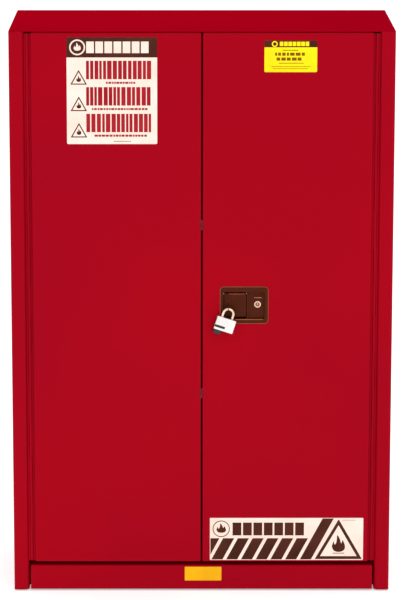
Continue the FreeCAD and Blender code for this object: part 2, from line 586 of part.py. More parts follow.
def shelves():
    rows = [("front + shelf_front + standard_inset"), ("inner_back - standard_inset")]
    standards = []
    for _, side in sides:
        for y in rows:
            bar = slab(("inner - standard_deep", "inner"),
                       (f"{y} - standard_wide / 2", f"{y} + standard_wide / 2"),
                       ("standard_low", "standard_high"), side)
            hollow = slab(("inner - standard_deep + standard_wall", "inner + 1"),
                          (f"{y} - standard_wide / 2 + standard_wall",
                           f"{y} + standard_wide / 2 - standard_wall"),
                          ("standard_low - 1", "standard_high + 1"), side)
            slots = [slab(("inner - 2 * standard_deep", "inner - standard_deep + 2 * standard_wall"),
                          (f"{y} - slot_wide / 2", f"{y} + slot_wide / 2"),
                          (f"standard_low + {index} * slot_pitch",
                           f"standard_low + {index} * slot_pitch + slot_high"), side)
                     for index in range(1, 16)]
            standards.append(cut(bar, hollow, *slots))
    node("shelf_standards", group(*standards))

    clips = []
    for name, height in (("lower", "shelf_low_z"), ("upper", "shelf_high_z")):
        side_in = "shelf_side"
        y = ("front + shelf_front", "inner_back - shelf_back")
        up = (height, f"{height} + shelf_lip")
        node(f"{name}_shelf", fuse(
            slab((f"0 - {side_in}", side_in), y, (height, f"{height} + skin")),
            slab((f"0 - {side_in}", side_in), (y[0], f"{y[0]} + skin"), up),
            slab((f"0 - {side_in}", side_in), (y[0], f"{y[0]} + shelf_edge"),
                 (f"{height} + shelf_lip - skin", f"{height} + shelf_lip")),
            slab((f"0 - {side_in}", side_in), (f"{y[1]} - skin", y[1]), up),
            *[slab((f"{side_in} - skin", side_in), y, up, side) for _, side in sides]))
        for _, side in sides:
            for row in rows:
                span = (f"{row} - standard_wide / 2", f"{row} + standard_wide / 2")
                clips.append(fuse(
                    slab(("inner - standard_deep - shelf_side_fit", "inner - standard_deep"), span,
                         (f"{height} - clip_high", f"{height}"), side),
                    slab((f"{side_in} - clip_ledge", "inner - standard_deep"), span,
                         (f"{height} - clip_thick", height), side)))
    node("shelf_clips", group(*clips))


# ---- vents, earth stud, feet, labels ----

def vents():
    fittings, screens = [], []
    for name, side in sides:
        axis = "x" if side > 0 else "-x"
        z = vent_height(side)

        def ring(radius, length, start):
            return rod(radius, length, (side_x(side, start), "vent_y", z), axis)

        tube = fuse(ring("vent_bore + vent_wall", "wall", "inner"),
                    ring("vent_bore + vent_wall + collar_wide", "collar_proud", "half"))
        fittings.append(cut(tube, ring("vent_bore", "2 * wall", "inner - wall / 2")))
        screens.append(ring("vent_bore - plug_fit", "arrester_long", "inner + skin"))
        face = "half + collar_proud"
        node(f"vent_cap_{name}", fuse(
            ring("vent_bore - plug_fit", "plug_long + gasket_thick", f"{face} - plug_long"),
            ring("cap_radius", "cap_thick", f"{face} + gasket_thick"),
            slab((f"{face} + gasket_thick + cap_thick", f"{face} + gasket_thick + cap_thick + grip_high"),
                 ("vent_y - 0.7 * cap_radius", "vent_y + 0.7 * cap_radius"),
                 (f"{z} - grip_half", f"{z} + grip_half"), side)))
        fittings.append(cut(ring("cap_radius - 1", "gasket_thick", face),
                            ring("vent_bore", "3 * gasket_thick", f"{face} - gasket_thick")))
    node("vent_collars", group(*fittings[0::2]))
    node("vent_gaskets", group(*fittings[1::2]))
    node("flame_arresters", group(*screens))


def earth_stud():
    y = "back - earth_inset"
    node("earth_stud", fuse(
        rod("earth_radius", "earth_proud + 12", ("0 - half + 12", y, "earth_z"), "-x"),
        rod("earth_nut", "3", ("0 - half + skin", y, "earth_z"), "x"),
        rod("earth_nut + 3", "1.5", ("0 - half", y, "earth_z"), "-x"),
        rod("earth_nut", "6", ("0 - half - 1.5", y, "earth_z"), "-x")))


def feet():
    brackets = []
    for name, side in sides:
        for where, y in (("front", "frame + foot_inset"), ("back", "back - foot_inset")):
            at = side_x(side, "foot_x")
            node(f"foot_{where}_{name}", fuse(
                rod("foot_radius", "foot_thick", (at, y, "0")),
                taper("foot_radius", "2 * foot_stud", "foot_thick / 2", (at, y, "foot_thick")),
                rod("foot_stud", "foot_top - foot_thick", (at, y, "foot_thick"))))
            plate = slab(("half - skin - bracket_wide", "half - skin"),
                         (f"{y} - bracket_wide / 2 + 2", f"{y} + bracket_wide / 2 - 2"),
                         ("bracket_z", "bracket_z + bracket_thick"), side)
            brackets.append(cut(plate, rod("foot_stud + foot_fit", "4 * bracket_thick",
                                           (at, y, "bracket_z - bracket_thick"))))
    node("foot_brackets", group(*brackets))


def labels():
    film = ("front - film", "front")
    node("left_label", slab(
        ("0 - edge + left_label_in", "0 - edge + left_label_in + left_label_wide"), film,
        ("door_high - left_label_top - left_label_high", "door_high - left_label_top")))
    node("right_label", slab(
        ("right_label_in", "right_label_in + right_label_wide"), film,
        ("door_high - right_label_top - right_label_high", "door_high - right_label_top")))
    node("lower_label", slab(
        ("free + low_label_in", "edge - low_label_out"), film,
        ("door_low + low_label_up", "door_low + low_label_up + low_label_high")))
    node("rail_label", slab(
        ("0 - rail_label_left", "rail_label_right"), film,
        ("base_gap + rail_lift + rail_label_up", "base_gap + rail_lift + rail_label_up + rail_label_high")))


body_sheets()
front_frame()
doors()
piano_hinges()
handle()
paddle_spring()
latch()
padlock()
shelves()
vents()
earth_stud()
feet()
labels()

doc.recompute()
for item in doc.Objects:
    if "Invalid" in item.State or "Error" in item.State:
        raise RuntimeError(f"{item.Name} ({item.Label}) failed: {item.State}")
for name, item in nodes.items():
    if item.Shape.isNull() or not item.Shape.isValid() or not item.Shape.Solids:
        raise RuntimeError(f"{name} has no valid solid")

os.makedirs("parts", exist_ok=True)
for name, item in nodes.items():
    item.Shape.exportStep(f"parts/{name}.step")
    box = item.Shape.BoundBox
    print(f"{name}: {len(item.Shape.Solids)} solid(s), x {box.XMin:.1f} {box.XMax:.1f}, "
          f"y {box.YMin:.1f} {box.YMax:.1f}, z {box.ZMin:.1f} {box.ZMax:.1f}")
print(len(nodes), "nodes")
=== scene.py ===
import math
import random

import bmesh
import bpy
from mathutils import Matrix, Vector


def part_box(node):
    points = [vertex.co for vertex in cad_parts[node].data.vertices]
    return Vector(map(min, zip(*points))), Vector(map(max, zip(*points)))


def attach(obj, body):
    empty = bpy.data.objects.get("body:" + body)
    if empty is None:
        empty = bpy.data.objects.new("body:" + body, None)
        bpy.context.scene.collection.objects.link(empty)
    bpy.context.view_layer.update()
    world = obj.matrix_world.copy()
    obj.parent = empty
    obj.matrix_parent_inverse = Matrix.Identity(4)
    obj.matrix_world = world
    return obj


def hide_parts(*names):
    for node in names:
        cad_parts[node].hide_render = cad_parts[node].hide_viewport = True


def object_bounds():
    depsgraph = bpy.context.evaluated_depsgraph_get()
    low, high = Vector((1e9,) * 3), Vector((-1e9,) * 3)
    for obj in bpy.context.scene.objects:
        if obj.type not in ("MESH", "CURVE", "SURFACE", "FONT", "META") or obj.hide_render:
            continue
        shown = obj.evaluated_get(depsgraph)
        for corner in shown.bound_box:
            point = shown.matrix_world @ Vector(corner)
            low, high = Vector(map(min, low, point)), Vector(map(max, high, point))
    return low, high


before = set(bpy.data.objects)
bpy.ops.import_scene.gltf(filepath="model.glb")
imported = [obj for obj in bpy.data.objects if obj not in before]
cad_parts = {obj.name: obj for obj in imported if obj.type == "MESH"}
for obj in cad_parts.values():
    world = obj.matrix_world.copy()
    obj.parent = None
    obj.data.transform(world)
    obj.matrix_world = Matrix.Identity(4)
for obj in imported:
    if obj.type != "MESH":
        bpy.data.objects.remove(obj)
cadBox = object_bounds()
mm = 0.001
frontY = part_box("right_door_outer")[0].y / mm


def cadPlace(node):
    """Lowest and highest corner of a CAD node in millimetres."""
    low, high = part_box(node)
    return low / mm, high / mm


def middle(node):
    low, high = cadPlace(node)
    return (low + high) / 2


def putInScene(thing):
    bpy.context.scene.collection.objects.link(thing)
    return thing


# Mesh helpers, all in millimetres

def bendPath(points, closed=False, steps=7):
    """Turn (u, v, radius) corners into a line with round bends."""
    path = []
    for index, (u, v, radius) in enumerate(points):
        corner = Vector((u, v))
        isEnd = not closed and index in (0, len(points) - 1)
        if radius == 0 or isEnd:
            path.append(corner)
            continue
        before = (Vector(points[index - 1][:2]) - corner).normalized()
        after = (Vector(points[(index + 1) % len(points)][:2]) - corner).normalized()
        half = before.angle(after) / 2
        centre = corner + (before + after).normalized() * radius / math.sin(half)
        start = corner + before * radius / math.tan(half) - centre
        end = corner + after * radius / math.tan(half) - centre
        startAngle = math.atan2(start.y, start.x)
        sweep = math.atan2(end.y, end.x) - startAngle
        sweep = (sweep + math.pi) % (2 * math.pi) - math.pi
        for step in range(steps + 1):
            angle = startAngle + sweep * step / steps
            path.append(centre + Vector((math.cos(angle), math.sin(angle))) * radius)
    return path


def along(axis, u, v, w):
    """Place a flat (u, v) point at w along an axis."""
    return {"x": (w, u, v), "y": (u, w, v), "z": (u, v, w)}[axis]


def meshOf(vertices, faces):
    mesh = bpy.data.meshes.new("shape")
    mesh.from_pydata([tuple(v) for v in vertices], [], faces)
    work = bmesh.new()
    work.from_mesh(mesh)
    bmesh.ops.remove_doubles(work, verts=work.verts, dist=0.001)
    bmesh.ops.recalc_face_normals(work, faces=work.faces)
    work.to_mesh(mesh)
    work.free()
    return mesh


def prism(outline, axis, span):
    """A closed outline pushed along an axis."""
    count = len(outline)
    vertices = [along(axis, p[0], p[1], w) for w in span for p in outline]
    faces = [list(range(count)), list(range(count, 2 * count))]
    faces += [(i, (i + 1) % count, (i + 1) % count + count, i + count) for i in range(count)]
    return meshOf(vertices, faces)


def ringPrism(outer, inner, axis, span):
    """The band between two outlines with the same number of points."""
    count = len(outer)
    vertices = [along(axis, p[0], p[1], w) for w in span for line in (outer, inner) for p in line]
    faces = []
    for i in range(count):
        j = (i + 1) % count
        for a, b in ((0, 1), (2, 3), (0, 2), (1, 3)):
            faces.append((a * count + i, a * count + j, b * count + j, b * count + i))
    return meshOf(vertices, faces)


def foldedSheet(path, thick, side, axis, span):
    """A sheet bent along a path; side 1 or -1 says on which hand of the path its thickness lies."""
    offset = []
    for index, point in enumerate(path):
        before = (point - path[max(index - 1, 0)]).normalized()
        after = (path[min(index + 1, len(path) - 1)] - point).normalized()
        heading = (before + after).normalized()
        normal = Vector((-heading.y, heading.x)) * side
        reach = thick / max(heading.dot(after if after.length else before), 0.3)
        offset.append(point + normal * reach)
    return prism([*path, *reversed(offset)], axis, span)


def roundOutline(low, high, radius, steps=7):
    corners = ((low[0], low[1]), (high[0], low[1]), (high[0], high[1]), (low[0], high[1]))
    return bendPath([(u, v, radius) for u, v in corners], True, steps)


def circle(centre, radius, steps=48):
    turns = (2 * math.pi * step / steps for step in range(steps))
    return [Vector((centre[0] + radius * math.cos(t), centre[1] + radius * math.sin(t))) for t in turns]


def roundFolds(mesh, radius, steps):
    """Round every edge that has a face on both sides."""
    work = bmesh.new()
    work.from_mesh(mesh)
    folds = [edge for edge in work.edges if len(edge.link_faces) == 2]
    bmesh.ops.bevel(work, geom=folds, offset=radius, segments=steps, profile=0.5, affect="EDGES")
    work.to_mesh(mesh)
    work.free()
    return mesh


def softBox(low, high, radius, steps=3):
    """A block with every edge rounded."""
    return roundFolds(prism(roundOutline(low[:2], high[:2], 0), "z", (low[2], high[2])), radius, steps)


def ringFaces(rings, steps):
    """The faces that join rings of points, each ring to the next."""
    return [(ring * steps + step, ring * steps + (step + 1) % steps,
             (ring + 1) * steps + (step + 1) % steps, (ring + 1) * steps + step)
            for ring in range(rings - 1) for step in range(steps)]


def turnedShape(profile, centre, axis, steps=48):
    """Turn a (radius, along) profile round an axis through centre."""
    vertices = []
    for radius, reach in profile:
        for step in range(steps):
            angle = 2 * math.pi * step / steps
            u, v = radius * math.cos(angle), radius * math.sin(angle)
            vertices.append(Vector(along(axis, u, v, reach)) + Vector(centre))
    return meshOf(vertices, ringFaces(len(profile), steps))


def tube(line, radius, steps=20):
    """A round bar along a line of points in one upright plane facing the front."""
    vertices = []
    across = Vector((0, 1, 0))
    for index, point in enumerate(line):
        heading = (line[min(index + 1, len(line) - 1)] - line[max(index - 1, 0)]).normalized()
        normal = heading.cross(across).normalized()
        for step in range(steps):
            angle = 2 * math.pi * step / steps
            vertices.append(point + (normal * math.cos(angle) + across * math.sin(angle)) * radius)
    ends = [list(range(steps)), list(range(len(vertices) - steps, len(vertices)))]
    return meshOf(vertices, ringFaces(len(line), steps) + ends)


def shaped(mesh, *steps):
    """Run modifiers on a mesh and return the finished one; a step is (kind, settings)."""
    holders = [bpy.data.objects.new("shaping", mesh)]
    for kind, settings in steps:
        modifier = holders[0].modifiers.new("step", kind)
        for name, setting in settings.items():
            if name == "object":
                setting = bpy.data.objects.new("tool", setting)
                holders.append(setting)
            setattr(modifier, name, setting)
    for holder in holders:
        putInScene(holder)
    view = bpy.context.evaluated_depsgraph_get()
    done = bpy.data.meshes.new_from_object(holders[0].evaluated_get(view))
    for holder in holders:
        bpy.data.objects.remove(holder)
    return done


def combined(mesh, operation, *tools):
    return shaped(mesh, *[("BOOLEAN", {"operation": operation, "solver": "EXACT", "object": tool})
                          for tool in tools])


def without(mesh, *tools):
    return combined(mesh, "DIFFERENCE", *tools)


def softened(mesh, width, steps=2):
    return shaped(mesh, ("BEVEL", {"width": width, "segments": steps, "limit_method": "ANGLE",
                                   "angle_limit": math.radians(40), "harden_normals": False}))


def addPiece(name, parts, body, replaced=(), sharp=35):
    """Make one piece from (mesh, material) parts and let it ride on its body."""
    work = bmesh.new()
    materials = []
    for mesh, material in parts:
        if material not in materials:
            materials.append(material)
        known = len(work.faces)
        work.from_mesh(mesh)
        work.faces.ensure_lookup_table()
        for face in work.faces[known:]:
            face.material_index = materials.index(material)
    mesh = bpy.data.meshes.new(name)
    work.to_mesh(mesh)
    work.free()
    mesh.transform(Matrix.Scale(mm, 4))
    mesh.shade_smooth()
    mesh.set_sharp_from_angle(angle=math.radians(sharp))
    piece = putInScene(bpy.data.objects.new(name, mesh))
    for material in materials:
        mesh.materials.append(material)
    flat = piece.modifiers.new("flatShading", "WEIGHTED_NORMAL")
    flat.keep_sharp = True
    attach(piece, body)
    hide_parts(*replaced)
    return piece


# Node groups for effects that several finishes share

def feed(tree, place, value):
    """Give an input socket a plain value or another node's output."""
    if isinstance(value, bpy.types.NodeSocket):
        tree.links.new(value, place)
    else:
        place.default_value = value


def newGroup(name, inputs, outputs):
    """A node group of number sockets; inputs gives each one's usual value."""
    group = bpy.data.node_groups.new(name, "ShaderNodeTree")
    for label, value in inputs.items():
        socket = group.interface.new_socket(name=label, in_out="INPUT", socket_type="NodeSocketFloat")
        socket.default_value = value
    for label in outputs:
        group.interface.new_socket(name=label, in_out="OUTPUT", socket_type="NodeSocketFloat")
    return group, group.nodes.new("NodeGroupInput"), group.nodes.new("NodeGroupOutput")


def addNode(tree, kind, settings=None, **sockets):
    """Add a node; sockets are given by name with _ for a space, as numbers or as output sockets."""
    node = tree.nodes.new(kind)
    for name, setting in (settings or {}).items():
        setattr(node, name, setting)
    for name, value in sockets.items():
        feed(tree, node.inputs[name.replace("_", " ")], value)
    return node


def mathNode(tree, operation, first, second=0.5, third=0.5):
    node = tree.nodes.new("ShaderNodeMath")
    node.operation = operation
    for place, value in zip(node.inputs, (first, second, third)):
        feed(tree, place, value)
    return node.outputs[0]


def stretchNode(tree, value, low, high, newLow=0.0, newHigh=1.0):
    node = addNode(tree, "ShaderNodeMapRange", {"clamp": True}, Value=value, From_Min=low, From_Max=high,
                   To_Min=newLow, To_Max=newHigh)
    return node.outputs["Result"]


def noiseNode(tree, place, scale, detail=3.0, stretch=None):
    if stretch:
        place = addNode(tree, "ShaderNodeMapping", Vector=place, Scale=stretch).outputs["Vector"]
    return addNode(tree, "ShaderNodeTexNoise", Vector=place, Scale=scale, Detail=detail).outputs["Fac"]


def objectPlace(tree):
    return tree.nodes.new("ShaderNodeTexCoord").outputs["Object"]


def makePaintPeel():
    """Height of sprayed paint: fine peel over the slow waves of thin sheet."""
    group, _, out = newGroup("paintPeel", {}, ["Height", "Waves"])
    place = objectPlace(group)
    peel = noiseNode(group, place, 420, 2)
    waves = noiseNode(group, place, 3.5, 1)
    group.links.new(peel, out.inputs["Height"])
    group.links.new(waves, out.inputs["Waves"])
    return group


def makeEdgeWearAndHighlight():
    """White along edges, broken up by noise: rubbed wear on some finishes, painted edge highlight on the
    handle and on bare metal.
    """
    group, inside, out = newGroup("edgeWearAndHighlight", {"Radius": 0.0015, "Amount": 0.5}, ["Mask"])
    bevel = addNode(group, "ShaderNodeBevel", {"samples": 6}, Radius=inside.outputs["Radius"])
    flat = group.nodes.new("ShaderNodeNewGeometry").outputs["Normal"]
    same = group.nodes.new("ShaderNodeVectorMath")
    same.operation = "DOT_PRODUCT"
    group.links.new(bevel.outputs["Normal"], same.inputs[0])
    group.links.new(flat, same.inputs[1])
    edge = stretchNode(group, same.outputs["Value"], 0.985, 0.8)
    broken = stretchNode(group, noiseNode(group, objectPlace(group), 160, 5), 0.42, 0.62)
    mask = mathNode(group, "MULTIPLY", mathNode(group, "MULTIPLY", edge, broken), inside.outputs["Amount"])
    group.links.new(mask, out.inputs["Mask"])
    return group


def makeSmudge():
    """Soft marks from hands and wiping."""
    group, inside, out = newGroup("smudge", {"Scale": 9.0}, ["Mask"])
    place = objectPlace(group)
    broad = noiseNode(group, place, inside.outputs["Scale"], 4)
    patches = noiseNode(group, place, 2.5, 2)
    mask = stretchNode(group, mathNode(group, "MULTIPLY", broad, patches), 0.14, 0.4)
    group.links.new(mask, out.inputs["Mask"])
    return group


def makeDustTop():
    """Dust on faces that look up."""
    group, inside, out = newGroup("dustTop", {"Amount": 0.3}, ["Mask"])
    normal = group.nodes.new("ShaderNodeNewGeometry").outputs["Normal"]
    up = addNode(group, "ShaderNodeSeparateXYZ", Vector=normal).outputs["Z"]
    speckle = stretchNode(group, noiseNode(group, objectPlace(group), 60, 6), 0.35, 0.7)
    mask = mathNode(group, "MULTIPLY", stretchNode(group, up, 0.6, 1.0), speckle)
    group.links.new(mathNode(group, "MULTIPLY", mask, inside.outputs["Amount"]), out.inputs["Mask"])
    return group


def makeBrushed():
    """Fine parallel lines left by drawing or brushing metal along X."""
    group, inside, out = newGroup("brushed", {"Scale": 300.0}, ["Lines"])
    lines = noiseNode(group, objectPlace(group), inside.outputs["Scale"], 3, (0.05, 1.0, 1.0))
    group.links.new(lines, out.inputs["Lines"])
    return group


def makeSpangle():
    """The flat crystals of a zinc coat."""
    group, inside, out = newGroup("spangle", {"Scale": 90.0}, ["Facet"])
    cells = addNode(group, "ShaderNodeTexVoronoi", Vector=objectPlace(group), Scale=inside.outputs["Scale"])
    facet = addNode(group, "ShaderNodeSeparateColor", Color=cells.outputs["Color"]).outputs["Red"]
    group.links.new(facet, out.inputs["Facet"])
    return group


paintPeel, edgeWearAndHighlight, smudge = makePaintPeel(), makeEdgeWearAndHighlight(), makeSmudge()
dustTop, brushed, spangle = makeDustTop(), makeBrushed(), makeSpangle()
print("node groups made")


# Finishes

def rgb(red, green, blue):
    """Linear colour from screen values of 0 to 255."""
    def linear(part):
        part /= 255
        return part / 12.92 if part <= 0.04045 else ((part + 0.055) / 1.055) ** 2.4
    return (linear(red), linear(green), linear(blue), 1.0)


def startFinish(name, **constants):
    """A new material; constants are set on the shader's own sockets."""
    material = bpy.data.materials.new(name)
    material.use_nodes = True
    tree = material.node_tree
    shader = tree.nodes["Principled BSDF"]
    for socket, value in constants.items():
        shader.inputs[socket.replace("_", " ")].default_value = value
    return material, tree, shader


def useGroup(tree, group, **inputs):
    node = tree.nodes.new("ShaderNodeGroup")
    node.node_tree = group
    for name, value in inputs.items():
        node.inputs[name].default_value = value
    return node.outputs


def mixColour(tree, factor, first, second):
    node = tree.nodes.new("ShaderNodeMix")
    node.data_type = "RGBA"
    for index, value in ((0, factor), (6, first), (7, second)):
        feed(tree, node.inputs[index], value)
    return node.outputs[2]


def bumpNode(tree, height, strength, distance, normal=None):
    node = addNode(tree, "ShaderNodeBump", Height=height, Strength=strength, Distance=distance)
    if normal:
        tree.links.new(normal, node.inputs["Normal"])
    return node.outputs["Normal"]


def softEdge(tree, radius):
    return addNode(tree, "ShaderNodeBevel", {"samples": 5}, Radius=radius).outputs["Normal"]


def marksOf(tree, look):
    return useGroup(tree, smudge, Scale=look["markScale"])["Mask"]


def wearAndHighlightOf(tree, look):
    return useGroup(tree, edgeWearAndHighlight, Radius=look["wearAndHighlightRadius"], Amount=look["wearAndHighlightAmount"])["Mask"]


def wireFinish(tree, shader, colour, rough, normal):
    """Lead a finish's colour, roughness and normal into its shader."""
    for socket, output in (("Base Color", colour), ("Roughness", rough), ("Normal", normal)):
        if output is not None:
            tree.links.new(output, shader.inputs[socket])


def makeRedPaint(name, red, deep, shine, glossLow, glossHigh):
    """Sprayed red enamel; shine is the strength of its reflections."""
    look = {"worn": rgb(118, 2, 14), "dust": rgb(150, 26, 34), "dustAmount": 0.06, "driftScale": 1.6,
            "wearAndHighlightRadius": 0.0012, "wearAndHighlightAmount": 0.3, "markScale": 6.0, "peel": (0.08, 0.0002),
            "waves": (0.15, 0.002), "edge": 0.0008}
    material, tree, shader = startFinish(name, Specular_IOR_Level=shine, Specular_Tint=redSheen)
    peel = useGroup(tree, paintPeel)
    drift = stretchNode(tree, noiseNode(tree, objectPlace(tree), look["driftScale"], 2), 0.3, 0.7)
    colour = mixColour(tree, drift, red, deep)
    wearAndHighlightMask = wearAndHighlightOf(tree, look)
    colour = mixColour(tree, wearAndHighlightMask, colour, look["worn"])
    dust = useGroup(tree, dustTop, Amount=look["dustAmount"])["Mask"]
    marks = marksOf(tree, look)
    fine = bumpNode(tree, peel["Height"], *look["peel"], softEdge(tree, look["edge"]))
    wireFinish(tree, shader, mixColour(tree, dust, colour, look["dust"]),
               stretchNode(tree, marks, 0, 1, glossLow, glossHigh),
               bumpNode(tree, peel["Waves"], *look["waves"], fine))
    return material


def makeMetal(name, pale, dark, roughLow, roughHigh, lines=300.0, radius=0.0005):
    """Bare metal with fine lines, darker marks and softly lit edges."""
    look = {"edge": rgb(235, 235, 232), "markScale": 25.0, "edgeAmount": 0.6, "bump": (0.15, 0.0001)}
    material, tree, shader = startFinish(name, Metallic=1.0)
    marks = marksOf(tree, look)
    grain = useGroup(tree, brushed, Scale=lines)["Lines"]
    edge = useGroup(tree, edgeWearAndHighlight, Radius=radius, Amount=look["edgeAmount"])["Mask"]
    wireFinish(tree, shader, mixColour(tree, edge, mixColour(tree, marks, pale, dark), look["edge"]),
               stretchNode(tree, grain, 0.3, 0.7, roughLow, roughHigh),
               bumpNode(tree, grain, *look["bump"], softEdge(tree, radius)))
    return material


def makeZincSteel():
    look = {"pale": rgb(196, 199, 200), "dark": rgb(150, 153, 156), "stain": rgb(120, 118, 112),
            "facetScale": 110.0, "stainScale": 14.0, "rough": (0.32, 0.48), "bump": (0.06, 0.0002),
            "edge": 0.0005}
    material, tree, shader = startFinish("zincSteel", Metallic=1.0)
    facet = useGroup(tree, spangle, Scale=look["facetScale"])["Facet"]
    stain = useGroup(tree, smudge, Scale=look["stainScale"])["Mask"]
    wireFinish(tree, shader,
               mixColour(tree, stain, mixColour(tree, facet, look["dark"], look["pale"]), look["stain"]),
               stretchNode(tree, facet, 0, 1, *look["rough"]),
               bumpNode(tree, facet, *look["bump"], softEdge(tree, look["edge"])))
    return material


def makeMeshScreen():
    """Woven wire cloth of the flame arresters."""
    look = {"gap": rgb(24, 22, 20), "wire": rgb(150, 146, 136), "wireScale": 420, "bump": (0.5, 0.0004)}
    material, tree, shader = startFinish("meshScreen", Metallic=1.0, Roughness=0.45)
    place = objectPlace(tree)
    waves = [addNode(tree, "ShaderNodeTexWave", {"bands_direction": way}, Vector=place,
                     Scale=look["wireScale"]) for way in ("Y", "Z")]
    weave = mathNode(tree, "MAXIMUM", *[wave.outputs["Fac"] for wave in waves])
    wires = stretchNode(tree, weave, 0.35, 0.75)
    wireFinish(tree, shader, mixColour(tree, wires, look["gap"], look["wire"]), None,
               bumpNode(tree, weave, *look["bump"]))
    return material


def makeRubber(name, dark, pale, roughLow, roughHigh, grain):
    """Dull moulded rubber or plastic with a fine texture."""
    look = {"dust": rgb(140, 132, 124), "dustAmount": 0.25, "markScale": 30.0, "bump": (0.2, 0.0001),
            "edge": 0.0006}
    material, tree, shader = startFinish(name, IOR=1.5)
    texture = noiseNode(tree, objectPlace(tree), grain, 4)
    marks = marksOf(tree, look)
    dust = useGroup(tree, dustTop, Amount=look["dustAmount"])["Mask"]
    wireFinish(tree, shader, mixColour(tree, dust, mixColour(tree, marks, dark, pale), look["dust"]),
               stretchNode(tree, marks, 0, 1, roughLow, roughHigh),
               bumpNode(tree, texture, *look["bump"], softEdge(tree, look["edge"])))
    return material


def makeCapSteel():
    """Red enamel of the vent caps, rubbed bare along the edges."""
    look = {"coat": rgb(150, 4, 26), "deep": rgb(130, 3, 22), "bare": rgb(170, 168, 165),
            "wearAndHighlightRadius": 0.0012, "wearAndHighlightAmount": 0.9, "markScale": 20.0, "rough": (0.3, 0.5),
            "bump": (0.15, 0.0003), "edge": 0.0008}
    material, tree, shader = startFinish("capSteel", Specular_IOR_Level=0.15, Specular_Tint=redSheen)
    wearAndHighlightMask = wearAndHighlightOf(tree, look)
    marks = marksOf(tree, look)
    peel = useGroup(tree, paintPeel)["Height"]
    wireFinish(tree, shader,
               mixColour(tree, wearAndHighlightMask, mixColour(tree, marks, look["coat"], look["deep"]), look["bare"]),
               stretchNode(tree, marks, 0, 1, *look["rough"]),
               bumpNode(tree, peel, *look["bump"], softEdge(tree, look["edge"])))
    return material


def makeHandleBlack():
    """Brown moulded plastic, paler along its edges: painted edge highlight, partly rubbed wear."""
    look = {"dark": rgb(60, 18, 4), "rubbed": rgb(74, 26, 8), "edge": rgb(118, 56, 34), "grainScale": 700,
            "markScale": 40.0, "wearAndHighlightRadius": 0.0012, "wearAndHighlightAmount": 0.9, "rough": (0.36, 0.52),
            "bump": (0.2, 0.00015), "soft": 0.0006}
    material, tree, shader = startFinish("handleBlack", Specular_IOR_Level=0.16,
                                         Specular_Tint=(1, 0.62, 0.45, 1))
    grain = noiseNode(tree, objectPlace(tree), look["grainScale"], 3)
    marks = marksOf(tree, look)
    wearAndHighlightMask = wearAndHighlightOf(tree, look)
    wireFinish(tree, shader,
               # The paler edge colour paints a highlight along the handle's edges, with some rubbed wear.
               mixColour(tree, wearAndHighlightMask, mixColour(tree, marks, look["dark"], look["rubbed"]), look["edge"]),
               stretchNode(tree, marks, 0, 1, *look["rough"]),
               bumpNode(tree, grain, *look["bump"], softEdge(tree, look["soft"])))
    return material


def makeHandleTrimAndHighlight():
    """The lighter ridges and lips of the handle: painted highlight along these edges, partly worn."""
    look = {"pale": rgb(176, 92, 62), "dark": rgb(140, 62, 40), "markScale": 60.0, "grainScale": 600,
            "rough": (0.3, 0.45), "bump": (0.15, 0.0001), "edge": 0.0004}
    material, tree, shader = startFinish("handleTrimAndHighlight", Specular_IOR_Level=0.4, Specular_Tint=(1, 0.7, 0.5, 1))
    marks = marksOf(tree, look)
    grain = noiseNode(tree, objectPlace(tree), look["grainScale"], 2)
    wireFinish(tree, shader, mixColour(tree, marks, look["pale"], look["dark"]),
               stretchNode(tree, marks, 0, 1, *look["rough"]),
               bumpNode(tree, grain, *look["bump"], softEdge(tree, look["edge"])))
    return material


def makeVinyl(name, base, aged, rough=0.3):
    """Printed self-adhesive film: slight fading, scuffs and a faint ripple."""
    look = {"fadeScale": 14, "scuffScale": 90, "scuffStretch": (0.3, 1.0, 1.6), "rippleScale": 22,
            "bump": (0.1, 0.0006)}
    material, tree, shader = startFinish(name, Roughness=rough, Specular_IOR_Level=0.12)
    place = objectPlace(tree)
    fade = stretchNode(tree, noiseNode(tree, place, look["fadeScale"], 4), 0.35, 0.75)
    scuffs = stretchNode(tree, noiseNode(tree, place, look["scuffScale"], 6, look["scuffStretch"]),
                         0.64, 0.76, 0.0, 0.35)
    ripple = noiseNode(tree, place, look["rippleScale"], 2)
    wireFinish(tree, shader, mixColour(tree, scuffs, mixColour(tree, fade, base, aged), aged), None,
               bumpNode(tree, ripple, *look["bump"]))
    return material


redSheen = (1, 0.3, 0.35, 1)
redPaint = makeRedPaint("redPaint", rgb(157, 0, 20), rgb(149, 0, 22), 0.1, 0.3, 0.38)
dullTopPaint = makeRedPaint("dullTopPaint", rgb(157, 0, 22), rgb(148, 0, 22), 0.0, 0.7, 0.85)
hingePaint = makeRedPaint("hingePaint", rgb(160, 0, 22), rgb(146, 0, 20), 0.1, 0.4, 0.55)
zincSteel, meshScreen = makeZincSteel(), makeMeshScreen()
brightSteel = makeMetal("brightSteel", rgb(205, 203, 198), rgb(160, 157, 150), 0.22, 0.4)
brass = makeMetal("brass", rgb(214, 170, 92), rgb(168, 124, 60), 0.25, 0.42)
